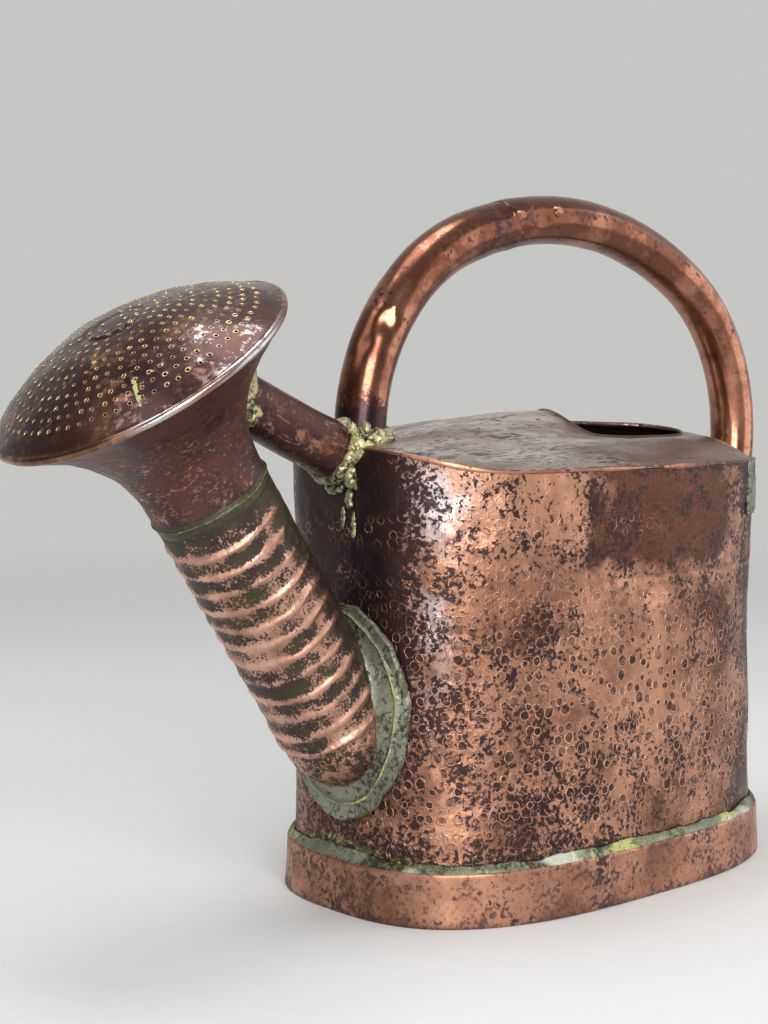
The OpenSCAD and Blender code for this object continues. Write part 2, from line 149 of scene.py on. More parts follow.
def dented(p, dents):
    """Depth at each point from a list of dents (centre, radius, depth): each is a bell of the distance to its
    centre."""
    total = np.zeros(np.shape(p)[:-1])
    for centre, radius, depth in dents:
        d2 = ((p - np.array(centre) * MM) ** 2).sum(-1)
        total = total + depth * MM * np.exp(-d2 / (radius * MM) ** 2)
    return total


# ---- meshes from grids of points


def full_turn(count):
    """Even angles round a full turn, without its end."""
    return np.arange(count) * (2 * np.pi / count)


def quad_rows(rows, columns, wrap_rows):
    """Corner numbers of the quads between neighbours in a grid whose rows close on themselves."""
    r = np.arange(rows if wrap_rows else rows - 1)
    r, c = np.meshgrid(r, np.arange(columns), indexing="ij")
    below, beside = (r + 1) % rows, (c + 1) % columns
    return (
        np.stack(
            [r * columns + c, r * columns + beside, below * columns + beside, below * columns + c], -1
        ).reshape(-1, 4)
    )


def signed_volume(points, faces):
    """Volume enclosed by triangles fanned from each face's first corner; it is negative where faces point
    inwards."""
    a = points[faces[:, 0]]
    total = 0.0
    for k in range(1, faces.shape[1] - 1):
        total += np.einsum("ij,ij->i", a, np.cross(points[faces[:, k]], points[faces[:, k + 1]])).sum()
    return total / 6


def make_piece(name, points, faces, marks=None, uv=None):
    """A smooth-shaded mesh object from points, lists of equal-sided faces, values at points and a uv pair at
    each face corner."""
    mesh = bpy.data.meshes.new(name)
    counts = np.concatenate([np.full(len(f), f.shape[1], np.int32) for f in faces])
    corners = np.concatenate([f.ravel() for f in faces]).astype(np.int32)
    mesh.vertices.add(len(points))
    mesh.vertices.foreach_set("co", np.asarray(points, np.float32).ravel())
    mesh.loops.add(len(corners))
    mesh.loops.foreach_set("vertex_index", corners)
    mesh.polygons.add(len(counts))
    mesh.polygons.foreach_set("loop_start", np.concatenate([[0], np.cumsum(counts)[:-1]]).astype(np.int32))
    mesh.polygons.foreach_set("loop_total", counts)
    mesh.polygons.foreach_set("use_smooth", np.ones(len(counts), bool))
    mesh.update(calc_edges=True)
    for label, values in (marks or {}).items():
        layer = mesh.attributes.new(label, "FLOAT", "POINT")
        layer.data.foreach_set("value", np.asarray(values, np.float32).ravel())
    if uv is not None:
        layer = mesh.uv_layers.new(name="surface")
        layer.data.foreach_set("uv", np.asarray(uv, np.float32).ravel())
    mesh.validate()
    piece = bpy.data.objects.new(name, mesh)
    bpy.context.scene.collection.objects.link(piece)
    return piece


def shell(name, rings, wrap_rows=False, poles=(None, None), marks=None, around=None, along=None):
    """A closed surface through rings of points, rows by columns. Rows join end to end, or run between two
    pole points.
    around and along give the distances of columns and rows for the uv map, in metres."""
    rings = np.asarray(rings, float)
    rows, columns = rings.shape[:2]
    points = rings.reshape(-1, 3)
    quads = quad_rows(rows, columns, wrap_rows)
    marks = {k: np.asarray(v, float).reshape(-1) for k, v in (marks or {}).items()}
    fans = []
    c = np.arange(columns)
    for pole, row, order in ((poles[0], 0, -1), (poles[1], rows - 1, 1)):
        if pole is None:
            continue
        tip = len(points)
        points = np.vstack([points, np.asarray(pole, float)])
        marks = {k: np.append(v, v[row * columns : (row + 1) * columns].mean()) for k, v in marks.items()}
        a, b = row * columns + c, row * columns + (c + 1) % columns
        fans.append(np.stack([a, b, 0 * c + tip][::order], -1))
    volume = signed_volume(points, quads) + sum(signed_volume(points, f) for f in fans)
    uv = None
    if around is not None:
        u = np.append(around, 2 * around[-1] - around[-2])
        v = np.append(along, along[-1] + (along[1] - along[0])) if wrap_rows else np.asarray(along)
        r = np.arange(len(v) - 1)
        r, k = np.meshgrid(r, np.arange(columns), indexing="ij")
        corners = ((k, r), (k + 1, r), (k + 1, r + 1), (k, r + 1))
        uv = np.stack([np.stack([u[i], v[j]], -1) for i, j in corners], 2).reshape(-1, 4, 2)
    if volume < 0:
        quads = quads[:, ::-1]
        fans = [f[:, ::-1] for f in fans]
        uv = uv[:, ::-1] if uv is not None else None
    if uv is not None:
        tips = [np.stack([np.stack([u[c], 0 * c + v[0]], -1)] * 3, 1).reshape(-1, 2) for _ in fans]
        uv = np.concatenate([uv.reshape(-1, 2)] + tips)
    return make_piece(name, points, [quads] + fans, marks, uv)


def joined(name, parts):
    """One object from several, their meshes copied into it as they stand."""
    bpy.ops.object.select_all(action="DESELECT")
    for part in parts:
        part.select_set(True)
    bpy.context.view_layer.objects.active = parts[0]
    bpy.ops.object.join()
    parts[0].name = parts[0].data.name = name
    return parts[0]


def finish_piece(piece, finish, slot, *nodes):
    """The piece takes its finish, rides on the can and stands for the frame's nodes."""
    piece.data.materials.clear()
    piece.data.materials.append(finishes()[finish])
    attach(piece, ROOT)
    if nodes:
        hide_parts(*nodes)
    return piece


# ---- the can's own curves


def oval_edge(sizes, t, grow=0.0):
    """The body's outline at angles: the half axes times the cosine and sine raised to 2 over the
    squareness."""
    half = np.array([sizes.body_length, sizes.body_width]) / 2 + grow
    turned = np.stack([np.cos(t), np.sin(t)], -1)
    return half * np.sign(turned) * np.abs(turned) ** (2 / sizes.squareness)


def oval_line(sizes, columns, grow=0.0):
    """The body's outline walked at even steps of its length.
    Returns points, outward directions, distances and angles."""
    t = np.linspace(0, 2 * np.pi, 7201)
    x, y = oval_edge(sizes, t, grow).T
    walked = np.concatenate([[0], np.cumsum(np.hypot(np.diff(x), np.diff(y)))])
    even = np.linspace(0, walked[-1], columns, endpoint=False)
    px, py, angle = (np.interp(even, walked, v) for v in (x, y, t))
    tx = np.roll(px, -1) - np.roll(px, 1)
    ty = np.roll(py, -1) - np.roll(py, 1)
    size = np.hypot(tx, ty)
    return np.stack([px, py], -1), np.stack([ty / size, -tx / size], -1), even, angle


def oval_rows(line, out, grow, z):
    """Rows of points round the oval, each moved outwards by grow and up to z."""
    return np.concatenate([line + out * grow[..., None], z[..., None]], -1)


def swell(angle, spread):
    """Half a cosine wave round the nose, 1 at the nose and 0 beyond the spread."""
    turn = np.abs(np.degrees(angle) - 180)
    return np.where(turn < spread, (1 + np.cos(np.pi * turn / spread)) / 2, 0)


def rim_height(sizes, angle):
    """Height of the wall's top edge, drawn up at the nose."""
    return sizes.body_height + sizes.nose_lift * swell(angle, 60)


def bend_path(sizes):
    """The handle's centre line: a straight start, then bends of three radii, a straight limb and a return
    bend.
    Each bend is a run of points on its circle. Returns x and z, the heading from upright towards the heel,
    and the distance walked."""
    x, z, heading = WALL_LOW.x + sizes.foot_inset, sizes.foot_height, sizes.foot_lean
    xs, zs, hs = [np.array([x])], [np.array([z])], [np.array([heading])]
    runs = (
        (sizes.bend_1_radius, sizes.bend_1_sweep),
        (sizes.bend_2_radius, sizes.bend_2_sweep),
        (sizes.bend_3_radius, sizes.bend_3_sweep),
        (0, sizes.rear_drop),
        (sizes.return_radius, None),
    )
    for radius, sweep in runs:
        if sweep is None:
            middle = x + radius * math.cos(heading)
            sweep = 2 * math.pi - math.acos((middle - WALL_HIGH.x) / radius) - heading
        if radius:
            turn = np.linspace(0, sweep, 400)[1:]
            px = x + radius * (math.cos(heading) - np.cos(heading + turn))
            pz = z + radius * (np.sin(heading + turn) - math.sin(heading))
            ph = heading + turn
        else:
            d = np.linspace(0, sweep, 60)[1:]
            px, pz, ph = x + d * math.sin(heading), z + d * math.cos(heading), heading + 0 * d
        xs.append(px), zs.append(pz), hs.append(ph)
        x, z, heading = px[-1], pz[-1], ph[-1]
    x, z, h = (np.concatenate(v) for v in (xs, zs, hs))
    walked = np.concatenate([[0], np.cumsum(np.hypot(np.diff(x), np.diff(z)))])
    return x, z, h, walked


def spokes(upper, side, a):
    """Directions round an axis: the cosine of each angle on the upper side and its sine on the near side."""
    return upper * np.cos(a)[:, None] + side * np.sin(a)[:, None]


def slanted(x, z, rise):
    """Where a tube's axis meets the nose, its direction, its upper side and its near side."""
    level, lift = math.cos(rise), math.sin(rise)
    return tuple(np.array(v, float) for v in ((x, 0, z), (-level, 0, lift), (lift, 0, level), (0, -1, 0)))


def spout_frame(sizes):
    """The spout's start, direction, upper side and near side."""
    return slanted(WALL_LOW.x, sizes.spout_height, sizes.spout_rise)


def brace_frame(body, sizes):
    """The brace's start, direction, upper side and near side."""
    return slanted(-body.body_length / 2, sizes.brace_height, sizes.brace_rise)


# ---- sizes and colours a user may change


def distance(name, description, default):
    """A length in metres, shown in the scene's units."""
    return bpy.props.FloatProperty(
        name=name, description=description, default=default, precision=4, subtype="DISTANCE", unit="LENGTH"
    )


def turn(name, description, degrees):
    """An angle, kept in radians."""
    return bpy.props.FloatProperty(
        name=name, description=description, default=math.radians(degrees), subtype="ANGLE", unit="ROTATION"
    )


def plain(name, description, default):
    """A number with no unit."""
    return bpy.props.FloatProperty(name=name, description=description, default=default)


def colour(name, description, default):
    """A colour as red, green and blue light."""
    return bpy.props.FloatVectorProperty(
        name=name, description=description, default=default, size=3, min=0, max=1, subtype="COLOR"
    )


class CAN_body_sizes(bpy.types.PropertyGroup):
    """Sizes of the oval body, its foot band and its top plate."""

    body_length: distance("Body length", "Length of the oval, nose to heel", WALL_HIGH.x - WALL_LOW.x)
    body_width: distance("Body width", "Width of the oval", WALL_HIGH.y - WALL_LOW.y)
    body_height: distance("Rim height", "Height of the rim along the sides", 0.235)
    squareness: plain("Squareness", "2 is an ellipse, higher is boxier", 2.83)
    nose_lift: distance("Nose lift", "How far the rim is drawn up at the nose", 0.0125)
    waist: distance("Waist", "How far the sides fall in at mid height", 0.0022)
    sheet: distance("Sheet", "Thickness of the copper", 0.0011)
    wall_lift: distance("Wall lift", "Height of the wall's bottom edge", WALL_LOW.z)
    band_height: distance("Band height", "Height of the foot band", FOOT_HIGH.z)
    band_thickness: distance("Band thickness", "How far the foot band stands out at its top", 0.0038)
    band_flare: distance("Band flare", "How much further it stands out at its sole", 0.0014)
    bead_height: distance("Bead height", "Height of the solder above the foot band", 0.0045)
    mouth_middle: distance("Mouth middle", "Place of the mouth's middle along the body", 0.0662)
    mouth_length: distance("Mouth length", "Length of the filling mouth", 0.104)
    mouth_width: distance("Mouth width", "Width of the filling mouth", 0.07)
    lip_rise: distance("Lip rise", "Height of the mouth's lip above the rim", 0.016)
    hood_rise: distance("Hood rise", "Extra height of the hood at the front of the mouth", 0.012)
    lip_tilt: distance("Lip tilt", "How far the near lip is pressed down", 0.0035)
    doming: plain("Doming", "Roundness of the top plate, 1 is a straight cone", 2.2)
    border: distance("Border", "Width of the plate's flat edge", 0.003)


class CAN_handle_sizes(bpy.types.PropertyGroup):
    """Sizes of the bent handle tube."""

    tube_radius: distance("Tube radius", "Outer radius of the handle tube", 0.014)
    foot_inset: distance("Foot inset", "Distance of the foot's centre from the nose", 0.0154)
    foot_height: distance("Foot height", "Height of the foot on the top plate", 0.251)
    foot_lean: turn("Foot lean", "Lean of the tube at its foot", 1.1)
    bend_1_radius: distance("Front bend radius", "Radius of the front bend", 0.118)
    bend_1_sweep: turn("Front bend sweep", "Sweep of the front bend", 67.6)
    bend_2_radius: distance("Crown radius", "Radius of the crown", 0.213)
    bend_2_sweep: turn("Crown sweep", "Sweep of the crown", 53)
    bend_3_radius: distance("Rear bend radius", "Radius of the rear bend", 0.109)
    bend_3_sweep: turn("Rear bend sweep", "Sweep of the rear bend", 66)
    rear_drop: distance("Rear drop", "Length of the straight rear limb", 0.03)
    return_radius: distance("Return radius", "Radius of the bend back to the wall", 0.048)
    lap_sweep: turn("Lap sweep", "Sweep of the crown up to the end of the front tube", 8)


class CAN_spout_sizes(bpy.types.PropertyGroup):
    """Sizes of the spout, its flange and the brace above it."""

    spout_height: distance("Spout height", "Height at which the spout's axis meets the nose", 0.099)
    spout_rise: turn("Spout rise", "Angle of the spout above level", 56.7)
    spout_radius: distance("Spout radius", "Outer radius of the spout", 0.0309)
    spout_length: distance("Spout length", "Length from the nose to the rose's neck", 0.149)
    ridges: bpy.props.IntProperty(
        name="Ridges", description="Number of raised hammered rings", default=12, min=1
    )
    ridge_height: distance("Ridge height", "Height of the raised rings", 0.0012)
    flange_width: distance("Flange width", "Width of the flange on the nose", 0.096)
    flange_height: distance("Flange height", "Height of the flange on the nose", 0.116)
    flange_up: distance("Flange up", "Height of the flange's middle above the spout's", 0.008)
    brace_radius: distance("Brace radius", "Outer radius of the brace tube", 0.015)
    brace_height: distance("Brace height", "Height at which the brace's axis meets the nose", 0.2425)
    brace_rise: turn("Brace rise", "Angle of the brace above level", 24.2)
    brace_length: distance("Brace length", "Length of the brace to the rose's neck", 0.077)


class CAN_rose_sizes(bpy.types.PropertyGroup):
    """Sizes of the rose and its spray holes."""

    neck_length: distance("Neck length", "Length from the spout to the rose's rim", 0.0745)
    rose_radius: distance("Rose radius", "Radius of the rose's rim", 0.0784)
    dome_height: distance("Dome height", "Height of the pierced dome", 0.027)
    flare: plain("Flare", "How late the neck flares, 1 is a straight cone", 2.3)
    roll_radius: distance("Roll radius", "Radius of the rolled rim", 0.0022)
    hole_radius: distance("Hole radius", "Radius of a spray hole", 0.0008)
    hole_rings: bpy.props.IntProperty(
        name="Hole rings", description="Number of rings of holes", default=12, min=1
    )
    first_ring: distance("First ring", "Radius of the first ring of holes", 0.007)
    ring_pitch: distance("Ring pitch", "Distance between rings of holes", 0.0054)
    hole_gap: distance("Hole gap", "Distance between holes in a ring", 0.0062)


class CAN_finish_colours(bpy.types.PropertyGroup):
    """Colours of the copper, its tarnish, the grey of a painted sheen and the solder."""

    copper: colour("Copper", "Bare rubbed copper", (0.52, 0.268, 0.175))
    brown: colour("Brown copper", "Copper with a brown film", (0.185, 0.08, 0.05))
    oxide: colour("Oxide", "Dark purple-brown oxide", (0.036, 0.019, 0.024))
    # Painted reflection: this grey is mixed into the copper where highlights and reflections of the lamps are
    # painted.
    painted_sheen_grey: colour("Grey sheen", "Smooth grey film on polished places", (0.46, 0.43, 0.445))
    brass: colour("Brassy edge", "Burnished edges round holes", (0.74, 0.58, 0.28))
    olive: colour("Olive verdigris", "Dark green corrosion", (0.082, 0.08, 0.018))
    pale: colour("Pale verdigris", "Pale yellow-green corrosion", (0.4, 0.4, 0.15))
    lead: colour("Solder", "Dull grey-green solder", (0.15, 0.158, 0.118))


# ---- finishes


def put(tree, kind, settings=None, **sockets):
    """Adds a node, sets its own settings, then joins or sets each named input. Names use _ for a space."""
    node = tree.nodes.new(kind)
    for key, value in (settings or {}).items():
        setattr(node, key, value)
    for key, value in sockets.items():
        if key.startswith("in_"):
            socket = node.inputs[int(key[3:])]
        else:
            socket = next(s for s in node.inputs if s.name == key.replace("_", " ") and s.enabled)
        if isinstance(value, bpy.types.NodeSocket):
            tree.links.new(value, socket)
        else:
            socket.default_value = value
    return node


def maths(operation, tree, a, b=0.0, c=0.0, clamp=False):
    """The value of one sum or comparison."""
    settings = {"operation": operation, "use_clamp": clamp}
    return put(tree, "ShaderNodeMath", settings, in_0=a, in_1=b, in_2=c).outputs[0]


plus, minus, times, times_plus = (
    functools.partial(maths, operation) for operation in ("ADD", "SUBTRACT", "MULTIPLY", "MULTIPLY_ADD")
)


def spread(tree, value, low, high, to_low=0.0, to_high=1.0):
    """The value moved from one range to another along an even curve, held at both ends."""
    ends = dict(From_Min=low, From_Max=high, To_Min=to_low, To_Max=to_high)
    return put(tree, "ShaderNodeMapRange", {"interpolation_type": "SMOOTHSTEP"}, Value=value, **ends).outputs[
        0
    ]


def blended(tree, share, first, second):
    """Two colours mixed by a share."""
    return put(tree, "ShaderNodeMix", {"data_type": "RGBA"}, in_0=share, in_6=first, in_7=second).outputs[2]


def noise(tree, vector, scale, detail=4.0, roughness=0.6, distortion=0.0):
    """The value of a cloudy pattern."""
    how = dict(Scale=scale, Detail=detail, Roughness=roughness, Distortion=distortion)
    return put(tree, "ShaderNodeTexNoise", Vector=vector, **how).outputs[0]


def rgba(c, by=1.0):
    """A colour with full cover, made brighter by a factor and held at full light."""
    return (*(min(1, v * by) for v in c), 1.0)


def emptied(owner):
    """The node tree of a material or world, with nothing in it."""
    owner.use_nodes = True
    owner.node_tree.nodes.clear()
    return owner.node_tree


def new_group(name, inputs, outputs):
    """A node group that takes a vector and named numbers, and puts out named numbers and a Color."""
    group = bpy.data.node_groups.new(name, "ShaderNodeTree")
    add = group.interface.new_socket
    add("Vector", in_out="INPUT", socket_type="NodeSocketVector")
    for label, default in inputs.items():
        add(label, in_out="INPUT", socket_type="NodeSocketFloat").default_value = default
    for label in outputs:
        add(label, in_out="OUTPUT", socket_type="NodeSocketColor" if label == "Color" else "NodeSocketFloat")
    return group, group.nodes.new("NodeGroupInput").outputs


def close_group(group, **values):
    """Joins each named value to the group's output of that name."""
    end = group.nodes.new("NodeGroupOutput")
    for label, value in values.items():
        group.links.new(value, end.inputs[label])
    return group


def use(tree, group, **sockets):
    """The outputs of a node group placed in a material."""
    return put(tree, "ShaderNodeGroup", {"node_tree": group}, **sockets).outputs


def oxide_group():
    """Dark tarnish: coarse and fine clouds added, shifted by the cover and cut to soft-edged patches,
    and a slow change of tone."""
    group, given = new_group(
        "tarnish_patches", dict(Size=0.02, Cover=0.4, Edge=0.04), ("Patches", "Tone", "Fine")
    )
    place, edge = given["Vector"], given["Edge"]
    per_metre = maths("DIVIDE", group, 1.0, given["Size"])
    coarse = noise(group, place, per_metre, 7.0, 0.66, 0.6)
    fine = noise(group, place, times(group, per_metre, 5.3), 5.0, 0.62, 0.3)
    total = times_plus(group, coarse, 0.62, times_plus(group, fine, 0.9, -0.26))
    shifted = times_plus(group, minus(group, given["Cover"], 0.5), 0.42, total)
    patches = spread(group, shifted, minus(group, 0.5, edge), plus(group, 0.5, edge))
    tone = noise(group, place, times(group, per_metre, 0.45), 9.0, 0.72)
    return close_group(group, Patches=patches, Tone=spread(group, tone, 0.38, 0.62), Fine=fine)


def peening_group():
    """Ring marks of a small hammer: the distance to the nearest mark gives a thin raised ring and a sunk bowl
    inside it. Some marks are faint."""
    group, given = new_group("peening_marks", dict(Pitch=0.0075, Share=0.7), ("Height", "Ring", "Bowl"))
    place = given["Vector"]
    per_metre = maths("DIVIDE", group, 1.0, given["Pitch"])
    bent = put(group, "ShaderNodeTexNoise", Vector=place, Scale=330.0, Detail=3.0).outputs["Color"]
    moved = {"in_0": bent, "in_1": (0.0019,) * 3, "in_2": place}
    shifted = put(group, "ShaderNodeVectorMath", {"operation": "MULTIPLY_ADD"}, **moved).outputs[0]
    how = dict(Vector=shifted, Scale=per_metre, Randomness=0.8)
    cells = put(group, "ShaderNodeTexVoronoi", {"voronoi_dimensions": "2D"}, **how).outputs
    own = put(group, "ShaderNodeSeparateColor", Color=cells["Color"]).outputs
    chosen = maths("LESS_THAN", group, own[0], given["Share"])
    beyond = minus(group, cells["Distance"], times_plus(group, own[1], 0.22, 0.2))
    broken = spread(group, noise(group, place, 210.0, 2.0), 0.34, 0.5)
    line = spread(group, maths("ABSOLUTE", group, beyond), 0.075, 0.015)
    ring = times(group, times(group, line, chosen), broken)
    bowl = times(group, spread(group, beyond, 0.0, -0.08), chosen)
    return close_group(group, Height=minus(group, times(group, ring, 0.7), bowl), Ring=ring, Bowl=bowl)


def verdigris_group(colours):
    """Green corrosion: clouds shifted by the amount and cut to crusts, coloured from olive to pale by finer
    clouds."""
    group, given = new_group("green_crust", dict(Amount=0.3, Pale=0.5), ("Crust", "Color", "Height"))
    rough = noise(group, given["Vector"], 190.0, 6.0, 0.7, 0.4)
    crust = spread(group, plus(group, rough, minus(group, given["Amount"], 0.5)), 0.46, 0.58)
    grain = noise(group, given["Vector"], 420.0, 4.0, 0.6)
    pale = spread(group, plus(group, grain, minus(group, given["Pale"], 0.5)), 0.4, 0.66)
    tint = blended(group, pale, rgba(colours.olive), rgba(colours.pale))
    return close_group(group, Crust=crust, Color=tint, Height=times(group, crust, grain))


def mark_value(tree, label):
    """A value kept at the piece's own points."""
    return put(tree, "ShaderNodeAttribute", {"attribute_name": label}).outputs["Fac"]


COPPER = dict(
    stretch=(1, 1, 1), edge=0.12, film=0.9, peen=None, share=0.7, peen_strength=1.0, bowl_dark=0.45,
    scrapes=None, oxide=(0.075, 0.032, 0.028), oxide_rough=0.08, oxide_dull=0.45, pale=0.45,
    grain=(900, 900, 60), scratch=0.25, bump=0.4, depth=0.0003,
)


def copper_finish(name, groups, colours, look):
    """Beaten copper. Patches of oxide, brown film, peening marks, rubbed places and painted highlights, a
    painted grey sheen and green crust are laid over bare metal, each guided by values kept on the piece. look
    holds the numbers that differ from piece to piece."""
    look = COPPER | look
    material = bpy.data.materials.new(name)
    tree = emptied(material)
    place = put(tree, "ShaderNodeTexCoord").outputs["Object"]
    stretched = put(tree, "ShaderNodeMapping", Vector=place, Scale=look["stretch"]).outputs[0]
    cover = minus(tree, plus(tree, look["cover"], mark_value(tree, "grime")), mark_value(tree, "wear_and_highlight"))
    tarnish = use(tree, groups["oxide"], Vector=stretched, Size=look["patch"], Cover=cover, Edge=look["edge"])
    patches, tone = tarnish["Patches"], tarnish["Tone"]
    film = plus(tree, times(tree, tone, look["film"]), mark_value(tree, "film"), clamp=True)
    skin = blended(
        tree, film, rgba(look.get("copper", colours.copper)), rgba(look.get("brown", colours.brown))
    )
    height = times(tree, tarnish["Fine"], 0.35)
    if look["peen"]:
        uv = put(tree, "ShaderNodeUVMap", {"uv_map": "surface"}).outputs[0]
        marks = use(tree, groups["peening"], Vector=uv, Pitch=look["peen"], Share=look["share"])
        tiny = use(tree, groups["peening"], Vector=uv, Pitch=look["peen"] * 0.58, Share=look["share"] * 0.6)
        strength = plus(tree, look["peen_strength"], mark_value(tree, "peened"), clamp=True)
        ring = maths("MAXIMUM", tree, marks["Ring"], times(tree, tiny["Ring"], 0.6))
        ring = times(tree, ring, strength)
        bowl = times(tree, times(tree, marks["Bowl"], strength), times_plus(tree, tone, 0.7, 0.3))
        dark = times_plus(tree, bowl, look["bowl_dark"], patches)
        patches = minus(tree, dark, times(tree, ring, 0.9), clamp=True)
        skin = blended(tree, times(tree, ring, 0.75), skin, rgba(colours.copper, 1.55))
        relief = plus(tree, marks["Height"], times(tree, tiny["Height"], 0.5))
        height = times_plus(tree, times(tree, relief, strength), 1.0, height)
    if look["scrapes"]:
        uv = put(tree, "ShaderNodeUVMap", {"uv_map": "surface"}).outputs[0]
        drawn = put(tree, "ShaderNodeMapping", Vector=uv, Scale=look["scrapes"]).outputs[0]
        bare = spread(tree, noise(tree, drawn, 1.0, 3.0, 0.5, 1.2), 0.6, 0.66)
        bare = times(tree, bare, mark_value(tree, "scraped"))
        patches = minus(tree, patches, bare, clamp=True)
        skin = blended(tree, times(tree, bare, 0.8), skin, rgba(colours.copper, 1.1))
    # painted_sheen mixes in the painted reflection grey and makes the metal a little smoother there.
    painted_sheen, brass = mark_value(tree, "painted_sheen"), mark_value(tree, "brass")
    skin = blended(tree, brass, blended(tree, painted_sheen, skin, rgba(colours.painted_sheen_grey)), rgba(colours.brass))
    patches = times(tree, patches, minus(tree, 1.0, brass))
    base = blended(tree, patches, skin, blended(tree, tone, rgba(colours.oxide), rgba(look["oxide"])))
    green = mark_value(tree, "green")
    crust = use(tree, groups["verdigris"], Vector=place, Amount=green, Pale=look["pale"])
    base = blended(tree, crust["Crust"], base, crust["Color"])
    rough = blended(tree, tone, (look["rough"],) * 3 + (1,), (look["rough"] + 0.12,) * 3 + (1,))
    rough = times_plus(tree, patches, look["oxide_rough"], rough)
    rough = minus(tree, rough, times(tree, painted_sheen, 0.08))
    rough = times_plus(tree, crust["Crust"], 0.35, rough, clamp=True)
    metal = minus(tree, 1.0, times(tree, patches, look["oxide_dull"]))
    metal = times(tree, metal, minus(tree, 1.0, times(tree, crust["Crust"], 0.9)))
    height = times_plus(tree, crust["Height"], 1.6, height)
    fine = put(tree, "ShaderNodeMapping", Vector=place, Scale=look["grain"]).outputs[0]
    height = times_plus(tree, noise(tree, fine, 1.0, 3.0, 0.7), look["scratch"], height)
    surfaced(tree, base, rough, metal, height, look["bump"], look["depth"])
    return material


def surfaced(tree, base, rough, metal, height, strength, depth):
    """The shader and output of a metal with a bump of the given strength and depth."""
    relief = put(tree, "ShaderNodeBump", Strength=strength, Distance=depth, Height=height).outputs[0]
    looks = dict(Base_Color=base, Roughness=rough, Metallic=metal, Normal=relief)
    put(tree, "ShaderNodeOutputMaterial", Surface=put(tree, "ShaderNodeBsdfPrincipled", **looks).outputs[0])


SOLDER = dict(cover=0.4, rough=0.42)


def solder_finish(name, groups, colours, look):
    """Old solder: dull grey-green metal under olive and pale green crusts, lumpy at a fine scale."""
    look = SOLDER | look
    material = bpy.data.materials.new(name)
    tree = emptied(material)
    place = put(tree, "ShaderNodeTexCoord").outputs["Object"]
    cover, green, pale = (
        plus(tree, look[key], mark_value(tree, mark))
        for key, mark in (("cover", "grime"), ("green", "green"), ("pale", "pale"))
    )
    tarnish = use(tree, groups["oxide"], Vector=place, Size=0.012, Cover=cover, Edge=0.08)
    crust = use(tree, groups["verdigris"], Vector=place, Amount=green, Pale=pale)
    lead = blended(tree, tarnish["Tone"], rgba(look.get("base", colours.lead)), rgba(look["lead"]))
    base = blended(tree, tarnish["Patches"], lead, (0.045, 0.042, 0.022, 1))
    base = blended(tree, crust["Crust"], base, crust["Color"])
    base = blended(tree, mark_value(tree, "white"), base, (0.62, 0.64, 0.55, 1))
    base = blended(tree, mark_value(tree, "film"), base, rgba(colours.copper))
    rough = times_plus(tree, crust["Crust"], 0.3, look["rough"])
    metal = times(tree, minus(tree, 1.0, crust["Crust"]), 0.55)
    grain = noise(tree, place, 520.0, 5.0, 0.65)
    height = plus(tree, times(tree, crust["Height"], 1.2), times(tree, grain, 0.8))
    surfaced(tree, base, rough, metal, height, 0.8, 0.0005)
    return material


FINISHES = {}


